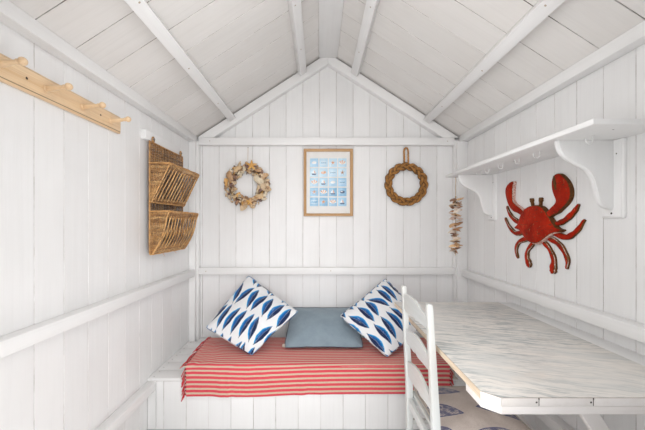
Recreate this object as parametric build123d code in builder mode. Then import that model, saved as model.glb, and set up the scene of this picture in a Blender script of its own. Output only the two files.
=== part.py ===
"""Timber beach hut, about 2.1 m wide and 2.4 m deep, open at its double doors.

Frame: origin at the underside of the middle floor bearer, at the centre of the
plan. +X right and +Y to the back wall when standing in the doorway, +Z up.
The doorway is in the front wall at -Y. Millimetres throughout.
"""

import math
import os

from build123d import *

# ---------------------------------------------------------------- dimensions
BOARD_T = 20.0          # wall boards
OUT_X = 1067.0          # half width over the wall boards (7 ft hut)
OUT_Y = 1219.0          # half depth over the wall boards (8 ft hut)
IN_X = OUT_X - BOARD_T
IN_Y = OUT_Y - BOARD_T
BEARER = 75.0           # floor bearers, square
FLOOR_T = 20.0          # floor boards
F = BEARER + FLOOR_T    # finished floor level
WALL_FOOT = 20.0        # wall boards stop short of the ground

APEX = F + 2482.0       # underside of the roof boards at the ridge
TAN = 0.645             # roof slope, rise over run
PITCH = math.atan(TAN)
ROOF_T = 18.0           # roof boards, square to the slope
FELT_T = 4.0
EAVES_X = OUT_X + 70.0  # roof boards overhang at the eaves
VERGE_Y = OUT_Y + 60.0  # and at the gables
BARGE_T = 20.0
BARGE_H = 120.0

RAIL = 50.0             # framing projects this far into the room
MID_TOP = F + 824.0
BACK_MID_TOP = F + 833.0
LOW_TOP = F + 272.0
TIE_BOT, TIE_TOP = F + 1768.0, F + 1824.0
EAVES_BOT = F + 1785.0
STUD_Y0, STUD_Y1 = IN_Y - 86.0, IN_Y - RAIL
LEFT_STUD_X, LEFT_POST_X = -(IN_X - 46.0), -(IN_X - 61.0)
RIGHT_STUD_X, RIGHT_POST_X = IN_X - 77.0, IN_X - 84.0

DOOR_X = 650.0          # half width of the doorway
DOOR_W, DOOR_H = 640.0, 1738.0
DOOR_OPEN = 104.0       # the doors stand open by this angle

RIDGE_W, RIDGE_BOT = 141.0, F + 2430.0
PURLIN_W, PURLIN_D = 55.0, 50.0
PURLINS = (-750.0, -212.0, 222.0, 772.0)   # centre line, on the roof boards
GABLE_TOP = F + 2467.0  # outer edge of the gable plates, at the middle
GABLE_W = 66.0

BENCH_Y = 523.0         # front face of the locker bench
BENCH_TOP = F + 288.0
PAD_Z = (F + 288.0, F + 368.0)
PAD_X = (-835.0, 700.0)
PAD_Y = (525.0, 955.0)
THROW_T = 6.0
THROW_HEM = F + 192.0

TABLE_TOP = F + 715.0
TABLE_X = (366.0, 965.0)
TABLE_Y = (-483.0, 555.0)
TABLE_T = 22.0

SHELF_Z = (F + 1480.0, F + 1499.0)
SHELF_X = 792.0
SHELF_Y = (-306.0, 891.0)

PEG_PITCH = 178.0
PEG_Y0 = 167.0
PEG_COUNT = 6

os.makedirs("parts", exist_ok=True)


def roof_z(x):
    """Underside of the roof boards above a point x from the middle."""
    return APEX - TAN * abs(x)


def block(x0, x1, y0, y1, z0, z1):
    """A square-edged timber between the given planes, in the open part."""
    with Locations(((x0 + x1) / 2, (y0 + y1) / 2, (z0 + z1) / 2)):
        Box(x1 - x0, y1 - y0, z1 - z0)


def prism_xz(points, y0, y1):
    """A profile in x and z, drawn out from y0 to y1, in the open part."""
    with BuildSketch(Plane.XZ.offset(-y1)) as profile:
        with BuildLine():
            Polyline(*points, close=True)
        make_face()
    extrude(profile.sketch, amount=y1 - y0)


def prism_xy(points, z0, z1):
    """A plan profile drawn up from z0 to z1, in the open part."""
    with BuildSketch(Plane.XY.offset(z0)) as profile:
        with BuildLine():
            Polyline(*points, close=True)
        make_face()
    extrude(profile.sketch, amount=z1 - z0)


def prism_yz(points, x0, x1):
    """A profile in y and z, drawn out from x0 to x1, in the open part."""
    with BuildSketch(Plane.YZ.offset(x0)) as profile:
        with BuildLine():
            Polyline(*points, close=True)
        make_face()
    extrude(profile.sketch, amount=x1 - x0)


# ------------------------------------------------------------------- floor
with BuildPart() as floor_bearers:
    for x in (-(IN_X - BEARER / 2), -500.0, 0.0, 500.0, IN_X - BEARER / 2):
        block(x - BEARER / 2, x + BEARER / 2, -IN_Y, IN_Y, 0.0, BEARER)

with BuildPart() as floor_boards:
    block(-IN_X, IN_X, -IN_Y, IN_Y, BEARER, F)

with BuildPart() as door_sill:
    block(-DOOR_X + 1, DOOR_X - 1, -OUT_Y, -IN_Y, WALL_FOOT, F)

# ------------------------------------------------------------------- walls
with BuildPart() as back_wall:
    prism_xz(
        [
            (-OUT_X, WALL_FOOT),
            (OUT_X, WALL_FOOT),
            (OUT_X, roof_z(OUT_X)),
            (0, APEX),
            (-OUT_X, roof_z(OUT_X)),
        ],
        IN_Y,
        OUT_Y,
    )

with BuildPart() as left_wall:
    prism_xz(
        [
            (-OUT_X, WALL_FOOT),
            (-IN_X, WALL_FOOT),
            (-IN_X, roof_z(IN_X)),
            (-OUT_X, roof_z(OUT_X)),
        ],
        -IN_Y,
        IN_Y,
    )

with BuildPart() as right_wall:
    prism_xz(
        [
            (OUT_X, WALL_FOOT),
            (IN_X, WALL_FOOT),
            (IN_X, roof_z(IN_X)),
            (OUT_X, roof_z(OUT_X)),
        ],
        -IN_Y,
        IN_Y,
    )

with BuildPart() as front_wall_left:
    block(-OUT_X, -DOOR_X, -OUT_Y, -IN_Y, WALL_FOOT, TIE_BOT)

with BuildPart() as front_wall_right:
    block(DOOR_X, OUT_X, -OUT_Y, -IN_Y, WALL_FOOT, TIE_BOT)

with BuildPart() as front_wall_gable:
    prism_xz(
        [
            (-OUT_X, TIE_BOT),
            (OUT_X, TIE_BOT),
            (OUT_X, roof_z(OUT_X)),
            (0, APEX),
            (-OUT_X, roof_z(OUT_X)),
        ],
        -OUT_Y,
        -IN_Y,
    )

# ----------------------------------------------------------------- framing
with BuildPart() as corner_posts:
    for y0, y1, s0, s1 in (
        (STUD_Y1, IN_Y, STUD_Y0, STUD_Y1),
        (-IN_Y, -STUD_Y1, -STUD_Y1, -STUD_Y0),
    ):
        block(-IN_X, LEFT_POST_X, y0, y1, F, F + 1800.0)
        block(RIGHT_POST_X, IN_X, y0, y1, F, F + 1800.0)
        s0, s1 = (s0, s1 - 0.4) if y0 > 0 else (s0 + 0.4, s1)
        block(-IN_X, LEFT_STUD_X, s0, s1, F, EAVES_BOT)
        block(RIGHT_STUD_X, IN_X, s0, s1, F, EAVES_BOT)

with BuildPart() as back_rails:
    block(LEFT_POST_X, RIGHT_POST_X, STUD_Y1, IN_Y, TIE_BOT, TIE_TOP)
    block(LEFT_POST_X, RIGHT_POST_X, STUD_Y1, IN_Y, BACK_MID_TOP - 52, BACK_MID_TOP)
    block(LEFT_POST_X, RIGHT_POST_X, STUD_Y1, IN_Y, LOW_TOP - RAIL, LOW_TOP)

with BuildPart() as front_rails:
    block(LEFT_POST_X, RIGHT_POST_X, -IN_Y, -STUD_Y1, TIE_BOT, TIE_TOP)
    block(LEFT_POST_X, -DOOR_X - RAIL, -IN_Y, -STUD_Y1, MID_TOP - RAIL, MID_TOP)
    block(DOOR_X + RAIL, RIGHT_POST_X, -IN_Y, -STUD_Y1, MID_TOP - RAIL, MID_TOP)

with BuildPart() as door_posts:
    block(-DOOR_X - RAIL, -DOOR_X, -IN_Y, -STUD_Y1, F, TIE_BOT)
    block(DOOR_X, DOOR_X + RAIL, -IN_Y, -STUD_Y1, F, TIE_BOT)

with BuildPart() as side_mid_rails:
    block(-IN_X, -IN_X + RAIL, -STUD_Y0, STUD_Y0, MID_TOP - RAIL, MID_TOP)
    block(IN_X - RAIL, IN_X, -STUD_Y0, STUD_Y0, MID_TOP - RAIL, MID_TOP)

with BuildPart() as side_lower_rails:
    block(-IN_X, -IN_X + RAIL, -STUD_Y0, STUD_Y0, LOW_TOP - RAIL, LOW_TOP)
    block(IN_X - RAIL, IN_X, -STUD_Y0, STUD_Y0, LOW_TOP - RAIL, LOW_TOP)

with BuildPart() as eaves_plates:
    for s in (-1, 1):
        prism_xz(
            [
                (s * IN_X, EAVES_BOT),
                (s * (IN_X - RAIL), EAVES_BOT),
                (s * (IN_X - RAIL), roof_z(IN_X - RAIL)),
                (s * IN_X, roof_z(IN_X)),
            ],
            -STUD_Y1,
            STUD_Y1,
        )

GABLE_DROP = GABLE_W / math.cos(PITCH)
GABLE_FOOT = (GABLE_TOP - TIE_TOP) / TAN
with BuildPart() as gable_plates:
    for y0, y1 in ((STUD_Y1, IN_Y), (-IN_Y, -STUD_Y1)):
        for s in (-1, 1):
            prism_xz(
                [
                    (s * 0.5, GABLE_TOP),
                    (s * 0.5, GABLE_TOP - GABLE_DROP),
                    (s * (GABLE_FOOT - GABLE_DROP / TAN), TIE_TOP),
                    (s * GABLE_FOOT, TIE_TOP),
                ],
                y0,
                y1,
            )

# -------------------------------------------------------------------- roof
with BuildPart() as ridge_board:
    h = RIDGE_W / 2
    prism_xz(
        [(-h, RIDGE_BOT), (h, RIDGE_BOT), (h, roof_z(h)), (0, APEX), (-h, roof_z(h))],
        -STUD_Y1,
        STUD_Y1,
    )

with BuildPart() as purlins:
    for x in PURLINS:
        s = 1 if x > 0 else -1
        c, n = math.cos(PITCH), math.sin(PITCH)
        top = [(x + k * PURLIN_W / 2 * c, roof_z(x) - s * k * PURLIN_W / 2 * n) for k in (-1, 1)]
        low = [(px - s * PURLIN_D * n, pz - PURLIN_D * c) for px, pz in top]
        prism_xz([top[0], top[1], low[1], low[0]], -STUD_Y1, STUD_Y1)

ROOF_RISE = ROOF_T / math.cos(PITCH)
with BuildPart() as roof_boards:
    for s in (-1, 1):
        prism_xz(
            [
                (s * 0.5, roof_z(0.5)),
                (s * EAVES_X, roof_z(EAVES_X)),
                (s * EAVES_X, roof_z(EAVES_X) + ROOF_RISE),
                (s * 0.5, roof_z(0.5) + ROOF_RISE),
            ],
            -VERGE_Y,
            VERGE_Y,
        )

FELT_RISE = FELT_T / math.cos(PITCH)
with BuildPart() as roof_felt:
    for s in (-1, 1):
        prism_xz(
            [
                (s * 0.5, roof_z(0.5) + ROOF_RISE),
                (s * EAVES_X, roof_z(EAVES_X) + ROOF_RISE),
                (s * EAVES_X, roof_z(EAVES_X) + ROOF_RISE + FELT_RISE),
                (s * 0.5, roof_z(0.5) + ROOF_RISE + FELT_RISE),
            ],
            -VERGE_Y,
            VERGE_Y,
        )

with BuildPart() as barge_boards:
    rise = ROOF_RISE + FELT_RISE + 4.0
    for y0, y1 in ((VERGE_Y, VERGE_Y + BARGE_T), (-VERGE_Y - BARGE_T, -VERGE_Y)):
        for s in (-1, 1):
            prism_xz(
                [
                    (s * 0.5, roof_z(0.5) + rise),
                    (s * (EAVES_X + 8), roof_z(EAVES_X + 8) + rise),
                    (s * (EAVES_X + 8), roof_z(EAVES_X + 8) + rise - BARGE_H),
                    (s * 0.5, roof_z(0.5) + rise - BARGE_H),
                ],
                y0,
                y1,
            )

# ------------------------------------------------------------------- doors
DOOR_Z = F + 20.0


def door_place(s, along, off, z):
    """A point on an open leaf: along it from the hinge, and off its outer face."""
    a = math.radians(DOOR_OPEN)
    ux, uy = -s * math.cos(a), -math.sin(a)       # from the hinge to the free edge
    nx, ny = -s * math.sin(a), math.cos(a)        # towards the leaf's inner face
    x0, y0 = s * (DOOR_X + 8.0), -OUT_Y - 8.0
    return (x0 + ux * along + nx * off, y0 + uy * along + ny * off, z)


def leaf_plan(s, a0, a1, o0, o1):
    return [door_place(s, a, o, 0)[:2] for a, o in ((a0, o0), (a1, o0), (a1, o1), (a0, o1))]


with BuildPart() as door_left:
    prism_xy(leaf_plan(-1, 0, DOOR_W, 0, BOARD_T), DOOR_Z, DOOR_Z + DOOR_H)

with BuildPart() as door_right:
    prism_xy(leaf_plan(1, 0, DOOR_W, 0, BOARD_T), DOOR_Z, DOOR_Z + DOOR_H)

with BuildPart() as door_ledges:
    for s in (-1, 1):
        for z in (130.0, 830.0, 1530.0):
            prism_xy(
                leaf_plan(s, 40, DOOR_W - 40, BOARD_T, BOARD_T + 22),
                DOOR_Z + z,
                DOOR_Z + z + 95,
            )

with BuildPart() as door_hinges:
    for s in (-1, 1):
        for z in (177.0, 877.0, 1577.0):
            prism_xy(leaf_plan(s, 6, 330, -4, 0), DOOR_Z + z - 17, DOOR_Z + z + 17)

# ------------------------------------------------------------------- bench
with BuildPart() as bench_front:
    block(-IN_X + 1, -IN_X + RAIL - 1, BENCH_Y, BENCH_Y + 16, F, LOW_TOP - RAIL)
    block(-IN_X + RAIL, IN_X - RAIL, BENCH_Y, BENCH_Y + 16, F, LOW_TOP)
    block(IN_X - RAIL + 1, IN_X - 1, BENCH_Y, BENCH_Y + 16, F, LOW_TOP - RAIL)

with BuildPart() as bench_seat:
    for k in range(5):
        y = BENCH_Y + k * 118.0
        block(-IN_X, IN_X, y, y + 115.0, LOW_TOP, BENCH_TOP)
    block(LEFT_POST_X + 1, RIGHT_POST_X - 1, STUD_Y0 + 3, IN_Y, LOW_TOP, BENCH_TOP)

with BuildPart() as bench_pad:
    block(*PAD_X, *PAD_Y, *PAD_Z)
    fillet(bench_pad.edges().filter_by(Axis.Z), 30)
    fillet(bench_pad.faces().sort_by(Axis.Z)[-1].edges(), 18)

THROW_X = (-842.0, 706.0)
with BuildPart() as throw:
    y1 = BENCH_Y - 4.0
    prism_yz(
        [
            (y1 - THROW_T, THROW_HEM),
            (y1, THROW_HEM),
            (y1, PAD_Z[1]),
            (PAD_Y[1] + 6, PAD_Z[1]),
            (PAD_Y[1] + 6, PAD_Z[1] + THROW_T),
            (y1 - THROW_T, PAD_Z[1] + THROW_T),
        ],
        *THROW_X,
    )

REST_Z = PAD_Z[1] + THROW_T


def cushion(corners, thick):
    """A crowned cushion on the plane nearest to its seam's corners, thin at the seam."""
    points = [Vector(*c) for c in corners]
    centre = sum(points, Vector(0, 0, 0)) * (1 / len(points))
    across = (points[1] - points[0] + points[2] - points[3]).normalized()
    up = points[3] - points[0] + points[2] - points[1]
    plane = Plane(origin=centre, x_dir=across, z_dir=across.cross(up).normalized())
    flat = [plane.to_local_coords(p) for p in points]
    for side in (-1, 1):
        with BuildSketch(plane) as seam:
            Polygon(*[(p.X, p.Y) for p in flat], align=None)
        with BuildSketch(plane.offset(side * thick / 2)) as crown:
            Polygon(*[(p.X * 0.55, p.Y * 0.55) for p in flat], align=None)
        loft([seam.sketch.face(), crown.sketch.face()])


# the seams' corners; the two square cushions stand on a corner and lean on the
# back rail, and the middle one lies back against the wall boards
LEFT_CUSHION = [(-474, 617, 384), (-210, 869, 577), (-602, 1130, 776), (-805, 799, 491)]
RIGHT_CUSHION = [(332, 591, 384), (660, 819, 530), (434, 1130, 752), (73, 869, 545)]
MIDDLE_CUSHION = [(-293, 722, 396), (213, 722, 396), (205, 1180, 522), (-285, 1180, 522)]

with BuildPart() as cushion_left:
    cushion([(x, y, F + z) for x, y, z in LEFT_CUSHION], 130.0)

with BuildPart() as cushion_right:
    cushion([(x, y, F + z) for x, y, z in RIGHT_CUSHION], 130.0)

with BuildPart() as cushion_middle:
    cushion([(x, y, F + z) for x, y, z in MIDDLE_CUSHION], 80.0)

# ------------------------------------------------------------------- table
with BuildPart() as table_top:
    prism_xy(
        [
            (TABLE_X[0], TABLE_Y[1]),
            (TABLE_X[0], TABLE_Y[0] + 36),
            (TABLE_X[0] + 38, TABLE_Y[0]),
            (TABLE_X[1], TABLE_Y[0]),
            (TABLE_X[1], TABLE_Y[1]),
        ],
        TABLE_TOP - TABLE_T,
        TABLE_TOP,
    )

with BuildPart() as table_batten:
    prism_xy(
        [
            (TABLE_X[0] + 2, TABLE_Y[0] + 127),
            (TABLE_X[0] + 2, TABLE_Y[0] + 37),
            (TABLE_X[0] + 39, TABLE_Y[0] + 2),
            (TABLE_X[1], TABLE_Y[0] + 2),
            (TABLE_X[1], TABLE_Y[0] + 127),
        ],
        TABLE_TOP - TABLE_T - 23,
        TABLE_TOP - TABLE_T,
    )

with BuildPart() as table_ledger:
    block(TABLE_X[1] + 2, IN_X, TABLE_Y[0], TABLE_Y[1], TABLE_TOP - 45, TABLE_TOP)


def strut(x_top, z_top, x_low, width, y0, y1, slope):
    """A flat diagonal brace from under the table down to the wall."""
    a = math.atan(slope)
    wx = width / math.sin(a)
    z_low = z_top - (x_low - x_top) * slope
    prism_xz(
        [
            (x_top, z_top),
            (x_top + wx, z_top),
            (x_low, z_low + wx * slope),
            (x_low, z_low),
        ],
        y0,
        y1,
    )


with BuildPart() as table_struts:
    strut(655.0, TABLE_TOP - TABLE_T, IN_X - RAIL, 46.0, -354.0, -330.0, 1.55)
    strut(500.0, TABLE_TOP - TABLE_T, IN_X - RAIL, 38.0, 282.0, 320.0, 1.22)

# ------------------------------------------------------- shelf and brackets
with BuildPart() as shelf:
    block(SHELF_X, IN_X, *SHELF_Y, *SHELF_Z)

PLATE_T = 15.0
BRACKET_Y = (-100.5, 755.5)    # centre lines
with BuildPart() as shelf_backplates:
    for y in BRACKET_Y:
        block(IN_X - PLATE_T, IN_X, y - 48, y + 48, SHELF_Z[0] - 291, SHELF_Z[0])

# the scrolled edge, from the front of the shelf down to the wall
SCROLL = (
    (-210, -8), (-206, -25), (-197, -46), (-180, -65), (-137, -91), (-100, -112), (-79, -141), (-66, -181), (-57, -218), (-45, -244),
    (-17, -257),
)
with BuildPart() as shelf_brackets:
    xw = IN_X - PLATE_T
    z = SHELF_Z[0]
    for y in BRACKET_Y:
        with BuildSketch(Plane.XZ.offset(-(y + 10.5))):
            with BuildLine():
                Polyline((xw - 210, z - 8), (xw - 210, z), (xw, z), (xw, z - 259), (xw - 17, z - 257))
                Spline(*[(xw + dx, z + dz) for dx, dz in reversed(SCROLL)])
            make_face()
        extrude(amount=21)

HOOK_Y = (-176.0, 72.0, 215.0, 353.0, 492.0, 584.0)
HOOK_X = 880.0
with BuildPart() as shelf_hooks:
    for i, y in enumerate(HOOK_Y):
        z = SHELF_Z[0]
        x = HOOK_X + (20.0 if i == 0 else 0.0)
        with BuildLine() as wire:
            a = Line((x, y, z), (x, y, z - 17))
            b = TangentArc(a @ 1, (x - 24, y, z - 17), tangent=(0, 0, -1))
            Line(b @ 1, (x - 24, y, z - 9))
        with BuildSketch(Plane(origin=(x, y, z), z_dir=(0, 0, -1))):
            Circle(1.6)
        sweep(path=wire.line)

# --------------------------------------------------------- left wall pieces
with BuildPart() as peg_rail:
    y_end = PEG_Y0 + 84.0
    block(-IN_X, -IN_X + 20, y_end - 168.0 - (PEG_COUNT - 1) * PEG_PITCH, y_end, F + 1603, F + 1685)
    chamfer(
        peg_rail.faces().sort_by(Axis.X)[-1].edges().filter_by(Axis.Y),
        6,
    )

with BuildPart() as pegs:
    for k in range(PEG_COUNT):
        y = PEG_Y0 - k * PEG_PITCH
        base = Plane(origin=(-IN_X + 22, y, F + 1640), x_dir=(0, 1, 0), z_dir=(math.cos(0.10), 0, math.sin(0.10)))
        with Locations(base.location):
            Cone(12.0, 6.5, 66.0, align=(Align.CENTER, Align.CENTER, Align.MIN))
        with Locations(Plane(base.origin + base.z_dir * 76.0, x_dir=base.x_dir, z_dir=base.z_dir).location):
            Sphere(15.0)

with BuildPart() as basket_batten:
    block(-IN_X, -IN_X + 29, 455.0, 900.0, F + 1635, F + 1687)

BASKET_Y = (481.0, 924.0)
BASKET_X = -IN_X + 30.0


def pocket(z_rim, z_low, depth, foot, wall):
    """A wedge-shaped pocket on the basket's back, open at its rim."""
    x = BASKET_X + 8
    outer = [(x - 8, z_rim), (x + depth, z_rim), (x + foot, z_low), (x - 8, z_low)]
    prism_xz(outer, *BASKET_Y)
    with BuildSketch(Plane.XZ.offset(-(BASKET_Y[1] - wall))) as hollow:
        with BuildLine():
            Polyline(
                (x, z_rim + 5),
                (x + depth - wall, z_rim + 5),
                (x + depth - wall, z_rim),
                (x + foot - wall, z_low + wall),
                (x, z_low + wall),
                close=True,
            )
        make_face()
    extrude(hollow.sketch, amount=BASKET_Y[1] - BASKET_Y[0] - 2 * wall, mode=Mode.SUBTRACT)


with BuildPart() as wall_basket:
    block(BASKET_X, BASKET_X + 8, *BASKET_Y, F + 1000, F + 1630)
    pocket(F + 1504, F + 1290, 118.0, 14.0, 8.0)
    pocket(F + 1235, F + 1000, 112.0, 20.0, 8.0)

# --------------------------------------------------- pieces hung on the walls
with BuildPart() as wreath_shells:
    with BuildSketch(Plane.XZ.offset(-(IN_Y - 36))):
        with Locations((-623.0, F + 1462.0)):
            Circle(176)
            Circle(88, mode=Mode.SUBTRACT)
    extrude(amount=30, both=True)

with BuildPart() as wreath_rope:
    with BuildSketch(Plane.XZ.offset(-(IN_Y - 27))):
        with Locations((600.0, F + 1472.0)):
            Circle(168)
            Circle(102, mode=Mode.SUBTRACT)
    extrude(amount=24, both=True)

FRAME = (-187.0, 192.0, F + 1226.0, F + 1745.0)
with BuildPart() as picture_frame:
    x0, x1, z0, z1 = FRAME
    m = 21.0
    block(x0, x0 + m, IN_Y - 24, IN_Y - 2, z0, z1)
    block(x1 - m, x1, IN_Y - 24, IN_Y - 2, z0, z1)
    block(x0 + m + 0.4, x1 - m - 0.4, IN_Y - 24, IN_Y - 2, z0, z0 + m)
    block(x0 + m + 0.4, x1 - m - 0.4, IN_Y - 24, IN_Y - 2, z1 - m, z1)
    block(x0 + m + 0.4, x1 - m - 0.4, IN_Y - 12, IN_Y - 3, z0 + m + 0.4, z1 - m - 0.4)

# the crab's outline in y and z above the floor; limbs are a middle line and half widths
CRAB_BODY = (
    (340, 1263), (292, 1255), (247, 1234), (225, 1206), (197, 1178), (150, 1139), (170, 1129), (232, 1098), (304, 1071),
    (357, 1070), (417, 1106), (483, 1142), (504, 1147), (473, 1174), (459, 1212), (417, 1244), (382, 1259),
)
CRAB_CLAWS = (
    (
        (260, 1212), (237, 1229), (217, 1244), (186, 1264), (182, 1276), (193, 1296), (206, 1327), (209, 1362), (203, 1385), (186, 1400),
        (163, 1399), (137, 1381), (112, 1354), (97, 1325), (94, 1297), (100, 1274), (121, 1253), (147, 1235), (169, 1217), (200, 1212),
        (228, 1200),
    ),
    (
        (425, 1205), (473, 1226), (517, 1240), (556, 1272), (582, 1316), (593, 1361), (580, 1387), (553, 1405), (517, 1410), (507, 1400),
        (517, 1377), (519, 1335), (517, 1296), (487, 1274), (430, 1242),
    ),
)
CRAB_LIMBS = (
    (((230, 1160), (190, 1168), (144, 1182), (101, 1210), (77, 1232), (63, 1251)), (12, 12, 13, 12, 10, 6)),
    (((230, 1128), (197, 1119), (138, 1107), (95, 1122), (60, 1150), (33, 1185)), (12, 12, 13, 12, 10, 6)),
    (((270, 1115), (240, 1097), (190, 1080), (151, 1049), (125, 1004), (131, 965)), (13, 13, 12, 12, 11, 6)),
    (((300, 1105), (277, 1075), (240, 1047), (211, 999), (216, 952)), (13, 13, 12, 15, 20)),
    (((440, 1165), (478, 1174), (532, 1198), (569, 1230), (594, 1271)), (12, 12, 12, 10, 6)),
    (((420, 1128), (454, 1119), (512, 1115), (569, 1150), (612, 1203)), (12, 12, 12, 10, 6)),
    (((370, 1105), (400, 1090), (473, 1069), (504, 1026), (488, 975)), (13, 13, 12, 10, 6)),
    (((345, 1100), (357, 1070), (400, 1029), (410, 990), (396, 958)), (13, 13, 12, 15, 19)),
    (((361, 1240), (361, 1264), (369, 1292)), (8, 8, 11)),
    (((301, 1235), (301, 1258), (300, 1289)), (8, 8, 11)),
)
with BuildPart() as crab_plaque:
    with BuildSketch(Plane.YZ.offset(IN_X - 22)):
        for outline in (CRAB_BODY, *CRAB_CLAWS):
            Polygon(*[(y, F + z) for y, z in outline], align=None)
        for line, half in CRAB_LIMBS:
            for i, (y, z) in enumerate(line):
                with Locations((y, F + z)):
                    Circle(half[i])
                if i:
                    y0, z0 = line[i - 1]
                    m = math.hypot(y - y0, z - z0)
                    ny, nz = (z0 - z) / m, (y - y0) / m
                    corners = [(y0 + ny * half[i - 1], z0 + nz * half[i - 1]), (y + ny * half[i], z + nz * half[i])]
                    corners += [(y - ny * half[i], z - nz * half[i]), (y0 - ny * half[i - 1], z0 - nz * half[i - 1])]
                    Polygon(*[(b, F + c) for b, c in corners], align=None)
    extrude(amount=21.8)

with BuildPart() as shell_string:
    with Locations((850.0, 862.0, F + 1149.0)):
        Cylinder(42, 385)

# ------------------------------------------------------------------- chair
CHAIR_Y = (-151.0, 199.0)      # the two back posts' centre lines
POST = 28.0
SEAT_Z = F + 378.0
with BuildPart() as chair_posts:
    for y in CHAIR_Y:
        prism_xz(
            [(340, F), (368, F), (368, F + 390), (342, F + 877), (314, F + 877), (340, F + 390)],
            y - POST / 2,
            y + POST / 2,
        )
        block(690, 718, y - POST / 2, y + POST / 2, F, SEAT_Z - 18)

with BuildPart() as chair_rails:
    y0, y1 = CHAIR_Y[0] + POST / 2, CHAIR_Y[1] - POST / 2
    for z in (818.0, 664.0, 512.0):
        x = 354 - (z - 390) * 26 / 487
        block(x - 6, x + 6, y0, y1, F + z - 34, F + z + 34)
    for x in (354.0, 704.0):
        block(x - 9, x + 9, y0, y1, F + 318, F + 354)
        block(x - 8, x + 8, y0, y1, F + 190, F + 212)
    for y in CHAIR_Y:
        block(368, 690, y - 9, y + 9, F + 318, F + 354)
        block(368, 690, y - 8, y + 8, F + 130, F + 152)
        block(368, 690, y - 8, y + 8, F + 230, F + 252)

with BuildPart() as chair_seat:
    block(370, 728, CHAIR_Y[0] - 18, CHAIR_Y[1] + 18, SEAT_Z - 18, SEAT_Z)
    fillet(chair_seat.edges().filter_by(Axis.Z), 18)

with BuildPart() as chair_cushion:
    block(372, 722, CHAIR_Y[0] - 10, CHAIR_Y[1] + 10, SEAT_Z, SEAT_Z + 58)
    fillet(chair_cushion.edges().filter_by(Axis.Z), 40)
    fillet(chair_cushion.faces().sort_by(Axis.Z)[-1].edges(), 22)

# ------------------------------------------------------------------ export
PIECES = {
    "floor_bearers": floor_bearers,
    "floor_boards": floor_boards,
    "door_sill": door_sill,
    "back_wall": back_wall,
    "left_wall": left_wall,
    "right_wall": right_wall,
    "front_wall_left": front_wall_left,
    "front_wall_right": front_wall_right,
    "front_wall_gable": front_wall_gable,
    "corner_posts": corner_posts,
    "back_rails": back_rails,
    "front_rails": front_rails,
    "door_posts": door_posts,
    "side_mid_rails": side_mid_rails,
    "side_lower_rails": side_lower_rails,
    "eaves_plates": eaves_plates,
    "gable_plates": gable_plates,
    "ridge_board": ridge_board,
    "purlins": purlins,
    "roof_boards": roof_boards,
    "roof_felt": roof_felt,
    "barge_boards": barge_boards,
    "door_left": door_left,
    "door_right": door_right,
    "door_ledges": door_ledges,
    "door_hinges": door_hinges,
    "bench_front": bench_front,
    "bench_seat": bench_seat,
    "bench_pad": bench_pad,
    "throw": throw,
    "cushion_left": cushion_left,
    "cushion_middle": cushion_middle,
    "cushion_right": cushion_right,
    "table_top": table_top,
    "table_batten": table_batten,
    "table_ledger": table_ledger,
    "table_struts": table_struts,
    "shelf": shelf,
    "shelf_backplates": shelf_backplates,
    "shelf_brackets": shelf_brackets,
    "shelf_hooks": shelf_hooks,
    "peg_rail": peg_rail,
    "pegs": pegs,
    "basket_batten": basket_batten,
    "wall_basket": wall_basket,
    "wreath_shells": wreath_shells,
    "wreath_rope": wreath_rope,
    "picture_frame": picture_frame,
    "crab_plaque": crab_plaque,
    "shell_string": shell_string,
    "chair_posts": chair_posts,
    "chair_rails": chair_rails,
    "chair_seat": chair_seat,
    "chair_cushion": chair_cushion,
}

for label, piece in PIECES.items():
    piece.part.label = label
    export_step(piece.part, f"parts/{label}.step")
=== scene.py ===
"""Beach hut: every visible surface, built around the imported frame. Metres, +Z up."""
import math
import random

import bpy
import numpy as np
from mathutils import Matrix, Vector, noise


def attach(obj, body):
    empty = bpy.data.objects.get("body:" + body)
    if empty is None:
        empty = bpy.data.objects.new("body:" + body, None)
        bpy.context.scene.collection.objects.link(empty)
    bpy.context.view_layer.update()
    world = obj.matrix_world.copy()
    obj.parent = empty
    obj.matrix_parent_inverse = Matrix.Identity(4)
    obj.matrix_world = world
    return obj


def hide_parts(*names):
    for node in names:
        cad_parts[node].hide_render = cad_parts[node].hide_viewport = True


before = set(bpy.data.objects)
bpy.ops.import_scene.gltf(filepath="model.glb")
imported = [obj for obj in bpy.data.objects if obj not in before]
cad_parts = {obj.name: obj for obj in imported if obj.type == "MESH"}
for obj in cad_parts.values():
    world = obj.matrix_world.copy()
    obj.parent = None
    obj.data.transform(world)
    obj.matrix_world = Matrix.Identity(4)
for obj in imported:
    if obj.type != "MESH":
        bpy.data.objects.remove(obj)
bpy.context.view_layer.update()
RNG = random.Random(4021)

# ------------------------------------------------------------ dimensions
F = 0.095
OUT_X, OUT_Y, IN_X, IN_Y = 1.067, 1.219, 1.047, 1.199
APEX, TAN = F + 2.482, 0.645
PITCH = math.atan(TAN)
CP, SP = math.cos(PITCH), math.sin(PITCH)
EAVES_X, VERGE_Y = 1.137, 1.279
STUD_Y0, STUD_Y1 = 1.113, 1.149
TIE_BOT, TIE_TOP, EAVES_BOT = F + 1.768, F + 1.824, F + 1.785
MID_TOP, BACK_MID_TOP, LOW_TOP = F + 0.824, F + 0.833, F + 0.272
DOOR_X = 0.650
BENCH_Y, BENCH_TOP = 0.523, F + 0.288
TABLE_TOP, TABLE_T = F + 0.715, 0.022
SHELF_Z0, SHELF_Z1, SHELF_X = F + 1.480, F + 1.499, 0.792


def roof_z(x):
    return APEX - TAN * abs(x)


X, Y, Z = Vector((1, 0, 0)), Vector((0, 1, 0)), Vector((0, 0, 1))


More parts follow.
